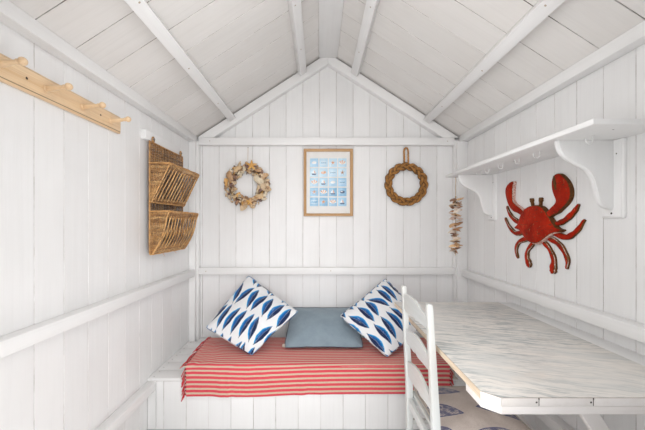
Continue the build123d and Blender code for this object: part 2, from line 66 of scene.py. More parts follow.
# ------------------------------------------------------------ mesh making
class Part:
    """Collects closed shells that become one mesh, with grain coordinates on every point."""

    def __init__(self, seed=0):
        self.v, self.f, self.m = [], [], []
        self.g, self.e, self.t = [], [], []
        self.rng = random.Random(seed * 7919 + 13)

    def shell(self, rings, axes=(Z, X, Y), edge=None, tint=None, mat=0, cap=True, loop=False, close=True, grain=None):
        """Lofts rings of equal length. edge gives one number for each point of a ring, or a row for each ring."""
        n, base = len(rings[0]), len(self.v)
        off = Vector([self.rng.uniform(-40, 40) for _ in range(3)])
        tint = self.rng.uniform(-1, 1) if tint is None else tint
        if edge and isinstance(edge[0], (list, tuple)):
            flat_edge, rows = None, edge
        else:
            flat_edge, rows = edge, None
        for k, ring in enumerate(rings):
            for i, p in enumerate(ring):
                p = Vector(p)
                self.v.append(p)
                q = Vector(grain[k][i]) if grain else Vector((p.dot(axes[0]), p.dot(axes[1]), p.dot(axes[2])))
                self.g.append(q + off)
                self.e.append(rows[k][i] if rows else flat_edge[i] if flat_edge else 0.0)
                self.t.append(tint)
        m = len(rings)
        for k in range(m if loop else m - 1):
            a, b = base + k * n, base + ((k + 1) % m) * n
            for i in range(n if close else n - 1):
                j = (i + 1) % n
                self.f.append((a + i, a + j, b + j, b + i))
                self.m.append(mat)
        if cap and not loop:
            self.f.append(tuple(base + i for i in reversed(range(n))))
            self.f.append(tuple(base + (m - 1) * n + i for i in range(n)))
            self.m += [mat, mat]

    def make(self, name, mats, nodes=(), slot=None, angle=35, fix=True):
        me = bpy.data.meshes.new(name)
        me.from_pydata([tuple(p) for p in self.v], [], self.f)
        for m in mats:
            me.materials.append(m)
        me.polygons.foreach_set("material_index", self.m)
        # edge carries worn edges and joint lines, and painted shade on the rope, basket, shells, fringe knots, peg rail
        # groove and grey cushion seam
        for label, kind, data in (("gv", "FLOAT_VECTOR", self.g), ("edge", "FLOAT", self.e), ("tint", "FLOAT", self.t)):
            layer = me.attributes.new(label, kind, "POINT")
            layer.data.foreach_set("vector" if kind == "FLOAT_VECTOR" else "value", np.array(data, dtype=np.float32).ravel())
        if fix:
            import bmesh

            bm = bmesh.new()
            bm.from_mesh(me)
            bmesh.ops.recalc_face_normals(bm, faces=bm.faces)
            bm.to_mesh(me)
            bm.free()
        me.polygons.foreach_set("use_smooth", [True] * len(me.polygons))
        me.set_sharp_from_angle(angle=math.radians(angle))
        me.update()
        o = bpy.data.objects.new(name, me)
        bpy.context.scene.collection.objects.link(o)
        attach(o, "root")
        if nodes:
            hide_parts(*nodes)
        return o


def inset(poly, d):
    """A convex outline moved in by d, with the same corners."""
    n = len(poly)
    area = sum(poly[i][0] * poly[(i + 1) % n][1] - poly[(i + 1) % n][0] * poly[i][1] for i in range(n))
    s = 1 if area > 0 else -1
    lines = []
    for i in range(n):
        (x0, y0), (x1, y1) = poly[i], poly[(i + 1) % n]
        dx, dy = x1 - x0, y1 - y0
        m = math.hypot(dx, dy)
        nx, ny = -dy / m * s, dx / m * s
        lines.append((x0 + nx * d, y0 + ny * d, dx / m, dy / m))
    out = []
    for i in range(n):
        ax, ay, adx, ady = lines[i - 1]
        bx, by, bdx, bdy = lines[i]
        den = adx * bdy - ady * bdx
        if abs(den) < 1e-9:
            out.append((bx, by))
        else:
            t = ((bx - ax) * bdy - (by - ay) * bdx) / den
            out.append((ax + adx * t, ay + ady * t))
    return out


def rounded(poly, r, seg=2):
    """A convex outline with its corners rounded, seg + 1 points for each."""
    out, n = [], len(poly)
    for i in range(n):
        p, a, b = Vector(poly[i]), Vector(poly[i - 1]), Vector(poly[(i + 1) % n])
        da, db = a - p, b - p
        la, lb = da.length, db.length
        ang = da.angle(db)
        t = min(r / math.tan(ang / 2), la * 0.45, lb * 0.45)
        pa, pb = p + da / la * t, p + db / lb * t
        for k in range(seg + 1):
            w = k / seg
            out.append(tuple(pa * (1 - w) ** 2 + p * 2 * w * (1 - w) + pb * w * w))
    return out


def prism(part, poly, A, B, C, c0, c1, origin=(0, 0, 0), r=0.003, b=0.0015, seg=2, axes=None, tint=None, mat=0, edge=0.0):
    """A bevelled prism: outline in A and B, drawn out from c0 to c1 along C."""
    o = Vector(origin)
    rings = []
    b = min(b, abs(c1 - c0) * 0.4)
    for d, c in ((b, c0), (b * 0.3, c0 + b * 0.3), (0, c0 + b), (0, c1 - b), (b * 0.3, c1 - b * 0.3), (b, c1)):
        ring = rounded(inset(poly, d) if d else poly, max(r - d, r * 0.3), seg)
        rings.append([o + A * u + B * v + C * c for u, v in ring])
    n = len(rings[0])
    part.shell(rings, axes or (C, A, B), [edge] * n, tint, mat)


def bar(part, x0, x1, y0, y1, z0, z1, along, **kw):
    """A bevelled timber filling a box, its grain along x, y or z."""
    if along == "x":
        prism(part, [(y0, z0), (y1, z0), (y1, z1), (y0, z1)], Y, Z, X, x0, x1, **kw)
    elif along == "y":
        prism(part, [(x0, z0), (x1, z0), (x1, z1), (x0, z1)], X, Z, Y, y0, y1, **kw)
    else:
        prism(part, [(x0, y0), (x1, y0), (x1, y1), (x0, y1)], X, Y, Z, z0, z1, **kw)


def board(part, u0, u1, U, V, S, origin, t, s0, s1, gap=0.0009, bevel=0.0013, step=0.13, extra=(), wob=0.0006, mat=0, tongue=0.006, tint=None, first=False):
    """A tongued board: u across, v through its thickness, s along. s0 and s1 give the cut ends. An outside edge, with no board beyond it, is painted."""
    o, seed = Vector(origin), part.rng.uniform(0, 900)
    er, el = 1.0 if tongue else 0.1, 0.1 if first else 1.0
    a, c = u0 + gap / 2, u1 - gap / 2
    g0, g1 = t * 0.38, t * 0.62
    tg = tongue
    mids = sorted(x for x in extra if a + 0.004 < x < c - 0.004)
    front = [(a + bevel, 0, 0.0)] + [(x, 0, 0.0) for x in mids] + [(c - bevel, 0, 0.0)]
    back = [(c - bevel, t, 0.0)] + [(x, t, 0.0) for x in reversed(mids)] + [(a + bevel, t, 0.0)]
    right = [(c, bevel, 0.75 * er), (c, g0, er), (c + tg, g0, er), (c + tg, g1, er), (c, g1, er), (c, t - bevel, 0.75 * er)]
    left = [(a, t - bevel, 0.75 * el), (a, g1 + 0.0004, el), (a + tg + 0.0008, g1 + 0.0004, el), (a + tg + 0.0008, g0 - 0.0004, el), (a, g0 - 0.0004, el), (a, bevel, 0.75 * el)]
    if first:
        left = [(a + 0.0 * tg, v, e) for _, v, e in left]
    pts = front + right + back + left
    mid = (a + c) / 2
    length = max(s1(u, v) for u, v, _ in pts) - min(s0(u, v) for u, v, _ in pts)
    k = max(2, int(length / step))
    stops = [0.0] + [i / k for i in range(1, k)] + [1.0]
    rings = []
    end = 0.0008
    for j, w in enumerate(stops):
        ring = []
        for u, v, _ in pts:
            lo, hi = s0(u, v), s1(u, v)
            s = lo + (hi - lo) * w
            side = 1 if u > mid else -1
            du = wob * noise.noise(Vector((s * 5.0, seed + side * 31, 0.3))) * 1.6
            inner = wob * 0.7 * noise.noise(Vector((s * 2.3, seed + 7, 9.1 + u)))
            x = u + (du if abs(u - mid) > (c - a) * 0.35 else 0)
            ring.append((x, v + inner, s))
        rings.append(ring)
    rows = []
    for w, ring in ((0, rings[0]), (1, rings[-1])):
        cu = sum(p[0] for p in ring) / len(ring)
        cut = [(cu + (p[0] - cu) * (1 - 2 * end / (c - a)), t / 2 + (p[1] - t / 2) * (1 - 2 * end / t), p[2]) for p in ring]
        pulled = [(p[0], p[1], p[2] + (end if w == 0 else -end)) for p in ring]
        rows.append((cut, pulled))
    rings = [rows[0][0], rows[0][1]] + rings[1:-1] + [rows[1][1], rows[1][0]]
    world = [[o + U * p[0] + V * p[1] + S * p[2] for p in ring] for ring in rings]
    part.shell(world, (S, U, V), [p[2] for p in pts], tint, mat)


def dome(part, p, n, r, h, mat=0, seg=8, tint=None):
    """A small round head standing h proud, or a dimple if h is negative."""
    n = Vector(n).normalized()
    a = n.orthogonal().normalized()
    b = n.cross(a)
    p = Vector(p)
    rings = []
    for rr, hh in ((r * 0.9, -0.0006), (r, 0.0), (r * 0.86, h * 0.7), (r * 0.45, h)):
        rings.append([p + a * (rr * math.cos(2 * math.pi * i / seg)) + b * (rr * math.sin(2 * math.pi * i / seg)) + n * hh for i in range(seg)])
    part.shell(rings, (a, b, n), [0.0] * seg, tint, mat)


def lathe(part, profile, origin, axis, seg=24, mat=0, cap=True, tint=None, ref=None):
    """Turns (radius, height) points about an axis."""
    n = Vector(axis).normalized()
    a = (Vector(ref) if ref is not None else n.orthogonal()).normalized()
    b = n.cross(a)
    o = Vector(origin)
    rings = [[o + a * (r * math.cos(2 * math.pi * i / seg)) + b * (r * math.sin(2 * math.pi * i / seg)) + n * h for i in range(seg)] for r, h in profile]
    part.shell(rings, (n, a, b), [0.0] * seg, tint, mat, cap)


def smooth_path(points, per=6, closed=False):
    """A Catmull-Rom line through the points."""
    pts = [Vector(p) for p in points]
    n = len(pts)
    out = []
    for i in range(n if closed else n - 1):
        p0 = pts[(i - 1) % n] if closed or i > 0 else pts[0] * 2 - pts[1]
        p1, p2 = pts[i], pts[(i + 1) % n]
        p3 = pts[(i + 2) % n] if closed or i < n - 2 else pts[-1] * 2 - pts[-2]
        for k in range(per):
            t = k / per
            out.append(0.5 * ((2 * p1) + (p2 - p0) * t + (2 * p0 - 5 * p1 + 4 * p2 - p3) * t * t + (3 * p1 - p0 - 3 * p2 + p3) * t ** 3))
    if not closed:
        out.append(pts[-1])
    return out


def tube(part, path, radius, seg=6, mat=0, closed=False, up=None, flat=1.0, tint=None, twist=0.0, shade=None):
    """A tube along a line of points. radius is a number or a function of 0 to 1. shade(i, point) gives the edge number of a point of ring i."""
    n = len(path)
    path = [Vector(p) for p in path]
    rings, grain, length = [], [], 0.0
    side = None
    for i, p in enumerate(path):
        if closed:
            d = (path[(i + 1) % n] - path[i - 1]).normalized()
        else:
            d = (path[min(i + 1, n - 1)] - path[max(i - 1, 0)]).normalized()
        if side is None:
            side = (Vector(up) - d * Vector(up).dot(d)).normalized() if up is not None else d.orthogonal().normalized()
        else:
            side = side - d * side.dot(d)
            side = side.normalized() if side.length > 1e-6 else d.orthogonal().normalized()
        other = d.cross(side)
        w = i / max(n - 1, 1)
        r = radius(w) if callable(radius) else radius
        if i:
            length += (p - path[i - 1]).length
        ring, gr = [], []
        for k in range(seg):
            a = 2 * math.pi * k / seg + twist * length
            ring.append(p + side * (r * math.cos(a)) + other * (r * flat * math.sin(a)))
            gr.append((length, k / seg * 6.2832 * r, 0))
        rings.append(ring)
        grain.append(gr)
    rows = [[shade(i, q) for q in ring] for i, ring in enumerate(rings)] if shade else [0.0] * seg
    part.shell(rings, (Z, X, Y), rows, tint, mat, cap=not closed, loop=closed, grain=grain)


# -------------------------------------------------------------- materials
class Tree:
    """Short names for shader nodes."""

    def __init__(self, name, **sockets):
        self.m = bpy.data.materials.new(name)
        self.m.use_nodes = True
        self.t = self.m.node_tree
        self.bsdf = self.t.nodes["Principled BSDF"]
        for k, v in sockets.items():
            self.bsdf.inputs[k.replace("_", " ")].default_value = v

    def node(self, kind, ins=(), out=0, **props):
        n = self.t.nodes.new(kind)
        for k, v in props.items():
            setattr(n, k, v)
        for k, v in dict(ins).items():
            if isinstance(v, bpy.types.NodeSocket):
                self.t.links.new(v, n.inputs[k])
            else:
                n.inputs[k].default_value = v
        return n.outputs[out]

    def attr(self, name, out="Fac"):
        n = self.t.nodes.new("ShaderNodeAttribute")
        n.attribute_name = name
        return n.outputs[out]

    def obj(self):
        return self.node("ShaderNodeTexCoord", out="Object")

    def math(self, op, a, b=0.0, c=0.0, clamp=False):
        return self.node("ShaderNodeMath", {0: a, 1: b, 2: c}, operation=op, use_clamp=clamp)

    def scaled(self, vec, s):
        return self.node("ShaderNodeVectorMath", {0: vec, 1: s}, operation="MULTIPLY")

    def vadd(self, a, b):
        return self.node("ShaderNodeVectorMath", {0: a, 1: b}, operation="ADD")

    def noise(self, vec, scale=1.0, detail=3.0, rough=0.5, dist=0.0, out="Fac"):
        return self.node("ShaderNodeTexNoise", {"Vector": vec, "Scale": scale, "Detail": detail, "Roughness": rough, "Distortion": dist}, out=out)

    def voronoi(self, vec, scale=1.0, feature="F1", out="Distance", rand=1.0):
        return self.node("ShaderNodeTexVoronoi", {"Vector": vec, "Scale": scale, "Randomness": rand}, out=out, feature=feature)

    def remap(self, x, a, b, c=0.0, d=1.0):
        return self.node("ShaderNodeMapRange", {"Value": x, "From Min": a, "From Max": b, "To Min": c, "To Max": d}, clamp=True)

    def ramp(self, x, stops, mode="LINEAR"):
        n = self.t.nodes.new("ShaderNodeValToRGB")
        n.color_ramp.interpolation = mode
        while len(n.color_ramp.elements) < len(stops):
            n.color_ramp.elements.new(0.5)
        for e, (p, c) in zip(n.color_ramp.elements, stops):
            e.position = p
            e.color = (*c, 1.0)
        self.t.links.new(x, n.inputs[0])
        return n.outputs[0]

    def mix(self, fac, a, b, blend="MIX"):
        n = self.t.nodes.new("ShaderNodeMix")
        n.data_type = "RGBA"
        n.blend_type = blend
        for k, v in ((0, fac), (6, a), (7, b)):
            if isinstance(v, bpy.types.NodeSocket):
                self.t.links.new(v, n.inputs[k])
            elif k == 0:
                n.inputs[k].default_value = v
            else:
                n.inputs[k].default_value = (*v, 1.0)
        return n.outputs[2]

    def bump(self, height, distance, strength=1.0, normal=None):
        ins = {"Height": height, "Distance": distance, "Strength": strength}
        if normal is not None:
            ins["Normal"] = normal
        return self.node("ShaderNodeBump", ins)

    def dot(self, vec, d):
        return self.node("ShaderNodeVectorMath", {0: vec, 1: d}, out=1, operation="DOT_PRODUCT")

    def xyz(self, x, y=0.0, z=0.0):
        return self.node("ShaderNodeCombineXYZ", {0: x, 1: y, 2: z})

    def set(self, **links):
        for k, v in links.items():
            self.t.links.new(v, self.bsdf.inputs[k.replace("_", " ")])
        return self.m


def paint(name, base, shade, line=(0.20, 0.13, 0.085), streak=0.5, wear=0.35, rough=0.5, coords="gv", tint=0.03, brush=1.0, lines=1.0, broken=0.10):
    """Brushed paint on timber: streaks along the grain, thin worn lines, brown where joints break it."""
    k = Tree(name)
    g = k.attr(coords, "Vector") if coords == "gv" else k.obj()
    along = k.scaled(g, (2.2, 55.0, 55.0))
    streaks = k.noise(along, 1.0, 4.0, 0.62)
    fine = k.noise(k.scaled(g, (7.0, 330.0, 330.0)), 1.0, 2.0, 0.5)
    cloud = k.noise(g, 2.6, 3.0, 0.55)
    c = k.mix(k.remap(cloud, 0.32, 0.68), base, shade)
    c = k.mix(k.math("MULTIPLY", k.remap(streaks, 0.46, 0.80), streak), c, tuple(x * 0.90 for x in shade))
    c = k.mix(k.math("MULTIPLY", k.remap(fine, 0.60, 0.78), 0.35 * streak), c, (shade[0] * 0.80, shade[1] * 0.78, shade[2] * 0.75))
    if tint:
        t = k.remap(k.attr("tint"), -1.0, 1.0, 1.0 - tint, 1.0 + tint * 0.6)
        c = k.node("ShaderNodeVectorMath", {0: c, "Scale": t}, operation="SCALE")
    if wear:
        w = k.noise(k.scaled(g, (14.0, 60.0, 60.0)), 1.0, 4.0, 0.65)
        c = k.mix(k.math("MULTIPLY", k.remap(w, 0.735, 0.80), wear), c, (0.42, 0.33, 0.25))
    if lines:
        e = k.attr("edge")
        b = k.noise(k.scaled(g, (9.0, 20.0, 20.0)), 1.0, 3.0, 0.6)
        hit = k.math("MULTIPLY", k.remap(e, 0.30, 0.72), k.remap(b, 0.40, 0.60, broken, 1.0))
        c = k.mix(k.math("MULTIPLY", hit, lines), c, line)
    h = k.math("ADD", k.math("MULTIPLY", streaks, 0.7), k.math("MULTIPLY", fine, 0.3))
    n = k.bump(h, 0.0007 * brush, 0.55)
    n = k.bump(k.noise(g, 38.0, 2.0, 0.5), 0.0009 * brush, 0.30, n)
    r = k.remap(k.noise(g, 9.0, 2.0), 0.3, 0.7, rough - 0.07, rough + 0.09)
    return k.set(Base_Color=c, Normal=n, Roughness=r)


WALL = paint("wall_paint", (0.872, 0.869, 0.866), (0.832, 0.826, 0.821), line=(0.23, 0.155, 0.11), streak=0.38, lines=0.9, broken=0.18)
FRAME_PAINT = paint("frame_paint", (0.880, 0.876, 0.870), (0.842, 0.835, 0.828), streak=0.34, wear=0.5, rough=0.42)
ROOF_PAINT = paint("roof_paint", (0.825, 0.803, 0.780), (0.770, 0.745, 0.718), line=(0.110, 0.070, 0.046), streak=0.40, wear=0.6, rough=0.6, tint=0.045, lines=0.95, broken=0.2)
DOOR_PAINT = paint("door_paint", (0.870, 0.868, 0.862), (0.820, 0.815, 0.808), streak=0.5, wear=0.4, rough=0.4)
FLOOR_PAINT = paint("floor_paint", (0.560, 0.560, 0.545), (0.470, 0.465, 0.445), line=(0.08, 0.06, 0.045), streak=0.9, wear=1.0, rough=0.6, tint=0.08)
SHELF_PAINT = paint("shelf_paint", (0.885, 0.884, 0.880), (0.850, 0.846, 0.840), streak=0.35, wear=0.25, rough=0.38)
TABLE_PAINT = paint("table_paint", (0.850, 0.815, 0.800), (0.820, 0.770, 0.725), streak=0.5, wear=0.7, rough=0.42)
CHAIR_PAINT = paint("chair_paint", (0.865, 0.865, 0.860), (0.830, 0.815, 0.780), streak=0.5, wear=0.9, rough=0.42)


def raw_wood(name, light, dark, rough=0.75, depth=0.0012):
    k = Tree(name)
    g = k.attr("gv", "Vector")
    rings = k.noise(k.scaled(g, (1.6, 42.0, 42.0)), 1.0, 5.0, 0.6, 0.6)
    fine = k.noise(k.scaled(g, (9.0, 420.0, 420.0)), 1.0, 2.0)
    c = k.mix(k.remap(rings, 0.30, 0.70), light, dark)
    c = k.mix(k.math("MULTIPLY", k.remap(fine, 0.45, 0.75), 0.5), c, tuple(x * 0.6 for x in dark))
    t = k.remap(k.attr("tint"), -1.0, 1.0, 0.86, 1.08)
    c = k.node("ShaderNodeVectorMath", {0: c, "Scale": t}, operation="SCALE")
    n = k.bump(k.math("ADD", rings, k.math("MULTIPLY", fine, 0.5)), depth, 0.6)
    return k.set(Base_Color=c, Normal=n, Roughness=k.remap(rings, 0.2, 0.8, rough - 0.1, rough + 0.1))


BEARER = raw_wood("bearer_wood", (0.30, 0.26, 0.17), (0.19, 0.155, 0.095), 0.85)
BARE = raw_wood("bare_wood", (0.42, 0.33, 0.23), (0.26, 0.19, 0.12), 0.8)


def simple(name, colour, rough, metal=0.0, var=0.12, scale=60.0, depth=0.0003):
    k = Tree(name, Metallic=metal)
    n = k.noise(k.obj(), scale, 4.0, 0.6)
    c = k.mix(k.remap(n, 0.3, 0.7), colour, tuple(x * (1 - var) for x in colour))
    return k.set(Base_Color=c, Roughness=k.remap(n, 0.3, 0.7, rough - 0.06, rough + 0.08), Normal=k.bump(n, depth, 0.5))


FILLER = simple("filler", (0.52, 0.43, 0.34), 0.7)
NAIL = simple("nail_steel", (0.28, 0.26, 0.24), 0.5, 0.7)
IRON = simple("black_iron", (0.035, 0.035, 0.037), 0.45, 0.4, 0.3, 220.0, 0.0005)

# ------------------------------------------------------------------ floor
p = Part(1)
for x in (-(IN_X - 0.0375), -0.5, 0.0, 0.5, IN_X - 0.0375):
    bar(p, x - 0.0375, x + 0.0375, -IN_Y, IN_Y, 0.0, 0.075, "y", r=0.004, b=0.003)
p.make("floor_bearer_timbers", [BEARER], ["floor_bearers"], "bare_bearers")

p = Part(2)
y, k = -IN_Y, 0
while y < IN_Y - 0.02:
    y1 = min(y + 0.1195, IN_Y)
    board(p, y, y1, Y, Z * -1, X, (0, 0, F), 0.020, lambda u, v: -IN_X + 0.0006, lambda u, v: IN_X - 0.0006, gap=0.0016, step=0.3, tongue=0.006 if y1 < IN_Y - 0.001 else 0.0)
    for x in (-(IN_X - 0.0375), -0.5, 0.0, 0.5, IN_X - 0.0375):
        for q in (0.03, 0.09):
            if y + q < y1 - 0.01:
                dome(p, (x + p.rng.uniform(-0.006, 0.006), y + q, F), (0, 0, 1), 0.0032, 0.0002, 1, 7)
    y = y1
p.make("floor_board_row", [FLOOR_PAINT, NAIL], ["floor_boards"], "painted_floor")

p = Part(3)
bar(p, -DOOR_X + 0.001, DOOR_X - 0.001, -OUT_Y, -IN_Y, 0.020, F, "x", r=0.003, b=0.002)
p.make("door_sill_board", [WALL], ["door_sill"], "painted_wall_boards")


# ------------------------------------------------------------------ walls
def spans(lo, hi, start, pitch):
    """The stretches between joints at start + k * pitch, from lo to hi."""
    k = math.ceil((lo - start) / pitch)
    cuts = [lo]
    while start + k * pitch < hi - 0.012:
        if start + k * pitch > lo + 0.012:
            cuts.append(start + k * pitch)
        k += 1
    return list(zip(cuts, cuts[1:] + [hi]))


def row_nails(part, u0, u1, U, origin, out, heights, inset_u=0.022):
    """Nail heads on a board's outer face, two at each rail."""
    for s in heights:
        for u in (u0 + inset_u, u1 - inset_u):
            if u1 - u0 < 0.07 and u != u0 + inset_u:
                continue
            q = Vector(origin) + U * (u + part.rng.uniform(-0.003, 0.003)) + Z * (s + part.rng.uniform(-0.006, 0.006))
            dome(part, q, out, 0.0030, 0.0005, 1, 7)


SMALL = 0.0005
p = Part(10)
for u0, u1 in spans(-OUT_X, OUT_X, -0.064, 0.130):
    board(p, u0, u1, X, Y, Z, (0, IN_Y, 0), 0.020, lambda u, v: 0.020, lambda u, v: roof_z(u) - SMALL, extra=(0.0,), tongue=0.006 if u1 < OUT_X - 0.01 else 0, first=u0 < -OUT_X + 0.001)
    row_nails(p, u0, u1, X, (0, OUT_Y, 0), Y, (F + 0.02, LOW_TOP - 0.025, BACK_MID_TOP - 0.025, TIE_BOT + 0.03))
p.make("back_wall_boards", [WALL, NAIL], ["back_wall"], "painted_wall_boards")

for side, name, start, pitch in ((-1, "left_wall", 0.049, 0.131), (1, "right_wall", 0.083, 0.132)):
    p = Part(11 + side)
    for u0, u1 in spans(-IN_Y, IN_Y, start, pitch):
        board(
            p, u0, u1, Y, X * side, Z, (side * IN_X, 0, 0), 0.020,
            lambda u, v: 0.020, lambda u, v: roof_z(IN_X + v) - SMALL,
            tongue=0.006 if u1 < IN_Y - 0.01 else 0,
        )
        row_nails(p, u0, u1, Y, (side * OUT_X, 0, 0), X * side, (F + 0.02, LOW_TOP - 0.025, MID_TOP - 0.025, EAVES_BOT + 0.03))
    p.make(name + "_boards", [WALL, NAIL], [name], "painted_wall_boards")

for name, x0, x1, z0 in (
    ("front_wall_left", -OUT_X, -DOOR_X, None),
    ("front_wall_right", DOOR_X, OUT_X, None),
    ("front_wall_gable", -OUT_X, OUT_X, TIE_BOT),
):
    p = Part(20 + len(name))
    for u0, u1 in spans(x0, x1, -0.065, 0.130):
        lo = (lambda u, v: 0.020) if z0 is None else (lambda u, v: TIE_BOT + 0.0004)
        hi = (lambda u, v: TIE_BOT - 0.0004) if z0 is None else (lambda u, v: roof_z(u) - SMALL)
        board(p, u0, u1, X, Y * -1, Z, (0, -IN_Y, 0), 0.020, lo, hi, extra=(0.0,), tongue=0.006 if u1 < x1 - 0.01 else 0, first=u0 < x0 + 0.001)
        heights = (F + 0.02, MID_TOP - 0.025, TIE_BOT - 0.03) if z0 is None else (TIE_BOT + 0.03,)
        row_nails(p, u0, u1, X, (0, -OUT_Y, 0), Y * -1, heights)
    p.make(name + "_boards", [WALL, NAIL], [name], "painted_wall_boards")

# ---------------------------------------------------------------- framing
LEFT_POST_X, RIGHT_POST_X, LEFT_STUD_X, RIGHT_STUD_X = -0.986, 0.963, -1.001, 0.970


def dots(part, points, n, r=0.0035, h=-0.0002):
    for q in points:
        dome(part, q, n, r, h + 0.0004, 1, 9)


p = Part(30)
for y0, y1, s0, s1 in ((STUD_Y1, IN_Y, STUD_Y0, STUD_Y1), (-IN_Y, -STUD_Y1, -STUD_Y1, -STUD_Y0)):
    back = y0 > 0
    bar(p, -IN_X, LEFT_POST_X, y0, y1, F, F + 1.8, "z", r=0.004)
    bar(p, RIGHT_POST_X, IN_X, y0, y1, F, F + 1.8, "z", r=0.004)
    s0, s1 = (s0, s1 - 0.0004) if back else (s0 + 0.0004, s1)
    bar(p, -IN_X, LEFT_STUD_X, s0, s1, F, EAVES_BOT, "z", r=0.004)
    bar(p, RIGHT_STUD_X, IN_X, s0, s1, F, EAVES_BOT, "z", r=0.004)
dots(p, [(-1.016, STUD_Y1 - 0.0, z) for z in (F + 1.2,)], (0, -1, 0))
p.make("corner_post_timbers", [FRAME_PAINT, FILLER], ["corner_posts"], "painted_frame")

p = Part(31)
bar(p, LEFT_POST_X, RIGHT_POST_X, STUD_Y1, IN_Y, TIE_BOT, TIE_TOP, "x", r=0.004)
bar(p, LEFT_POST_X, RIGHT_POST_X, STUD_Y1, IN_Y, BACK_MID_TOP - 0.052, BACK_MID_TOP, "x", r=0.004)
bar(p, LEFT_POST_X, RIGHT_POST_X, STUD_Y1, IN_Y, LOW_TOP - 0.05, LOW_TOP, "x", r=0.004)
dots(p, [(x, STUD_Y1, z) for x, z in ((-0.9, TIE_BOT + 0.03), (0.91, TIE_BOT + 0.028), (-0.93, BACK_MID_TOP - 0.027), (0.02, BACK_MID_TOP - 0.024))], (0, -1, 0))
p.make("back_rail_timbers", [FRAME_PAINT, FILLER], ["back_rails"], "painted_frame")

p = Part(32)
bar(p, LEFT_POST_X, RIGHT_POST_X, -IN_Y, -STUD_Y1, TIE_BOT, TIE_TOP, "x", r=0.004)
bar(p, LEFT_POST_X, -DOOR_X - 0.05, -IN_Y, -STUD_Y1, MID_TOP - 0.05, MID_TOP, "x", r=0.004)
bar(p, DOOR_X + 0.05, RIGHT_POST_X, -IN_Y, -STUD_Y1, MID_TOP - 0.05, MID_TOP, "x", r=0.004)
p.make("front_rail_timbers", [FRAME_PAINT], ["front_rails"], "painted_frame")

p = Part(33)
for s in (-1, 1):
    a, b = sorted((s * DOOR_X, s * (DOOR_X + 0.05)))
    bar(p, a, b, -IN_Y, -STUD_Y1, F, TIE_BOT, "z", r=0.003)
p.make("door_post_timbers", [FRAME_PAINT], ["door_posts"], "painted_frame")

for seed, top, name in ((34, MID_TOP, "side_mid_rails"), (35, LOW_TOP, "side_lower_rails")):
    p = Part(seed)
    for s in (-1, 1):
        a, b = sorted((s * IN_X, s * (IN_X - 0.05)))
        bar(p, a, b, -STUD_Y0, STUD_Y0, top - 0.05, top, "y", r=0.005, b=0.002)
    p.make(name + "_timbers", [FRAME_PAINT], [name], "painted_frame")

p = Part(36)
for s in (-1, 1):
    i, o = IN_X - 0.05, IN_X
    prism(p, [(s * o, EAVES_BOT), (s * i, EAVES_BOT), (s * i, roof_z(i) - 0.0003), (s * o, roof_z(o) - 0.0003)], X, Z, Y, -STUD_Y1, STUD_Y1, r=0.004)
p.make("eaves_plate_timbers", [FRAME_PAINT], ["eaves_plates"], "painted_frame")

GABLE_TOP, GABLE_DROP = F + 2.467, 0.066 / CP
GABLE_FOOT = (GABLE_TOP - TIE_TOP) / TAN
p = Part(37)
for y0, y1 in ((STUD_Y1, IN_Y), (-IN_Y, -STUD_Y1)):
    for s in (-1, 1):
        slope = Vector((s * CP, 0, -SP))
        prism(
            p,
            [(s * 0.0005, GABLE_TOP), (s * 0.0005, GABLE_TOP - GABLE_DROP), (s * (GABLE_FOOT - GABLE_DROP / TAN), TIE_TOP), (s * GABLE_FOOT, TIE_TOP)],
            X, Z, Y, y0, y1, r=0.003, axes=(slope, Y, slope.cross(Y)),
        )
p.make("gable_plate_timbers", [FRAME_PAINT], ["gable_plates"], "painted_frame")

# ------------------------------------------------------------------- roof
p = Part(40)
h = 0.0705
prism(p, [(-h, F + 2.430), (h, F + 2.430), (h, roof_z(h) - 0.0003), (0, APEX - 0.0003), (-h, roof_z(h) - 0.0003)], X, Z, Y, -STUD_Y1, STUD_Y1, r=0.004)
p.make("ridge_timber", [FRAME_PAINT], ["ridge_board"], "painted_frame")

p = Part(41)
for x in (-0.750, -0.212, 0.222, 0.772):
    s = 1 if x > 0 else -1
    top = [(x + k * 0.0275 * CP, roof_z(x) - s * k * 0.0275 * SP) for k in (-1, 1)]
    low = [(px - s * 0.050 * SP, pz - 0.050 * CP) for px, pz in top]
    prism(p, [top[0], top[1], low[1], low[0]], X, Z, Y, -STUD_Y1, STUD_Y1, r=0.004)
    mid = Vector((x - s * 0.050 * SP, 0, roof_z(x) - 0.050 * CP))
    for y in (-0.62, -0.17, 0.33, 0.80):
        q = mid + Y * (y + p.rng.uniform(-0.04, 0.04)) + Vector((CP, 0, -s * SP)) * p.rng.uniform(-0.012, 0.012)
        dome(p, q, (-s * SP, 0, -CP), 0.0045, 0.0003, 1, 9)
p.make("purlin_timbers", [FRAME_PAINT, FILLER], ["purlins"], "painted_frame")

p = Part(42)
for s in (-1, 1):
    D, N = Vector((s * CP, 0, -SP)), Vector((s * SP, 0, CP))
    for u0, u1 in spans(-VERGE_Y, VERGE_Y, -0.084, 0.1775):
        near = max(0.0, min(1.0, (0.15 - u0) / 0.9))
        g = 0.0016 + 0.0030 * near * p.rng.uniform(0.35, 1.0)
        board(
            p, u0, u1, Y, N, D, (0, 0, APEX), 0.018,
            lambda u, v: (0.0006 - v * SP) / CP, lambda u, v: (EAVES_X - 0.0004 - v * SP) / CP,
            gap=g, bevel=0.0014, step=0.14, tongue=0.007 if u1 < VERGE_Y - 0.01 else 0,
        )
p.make("roof_board_rows", [ROOF_PAINT], ["roof_boards"], "painted_roof_boards")


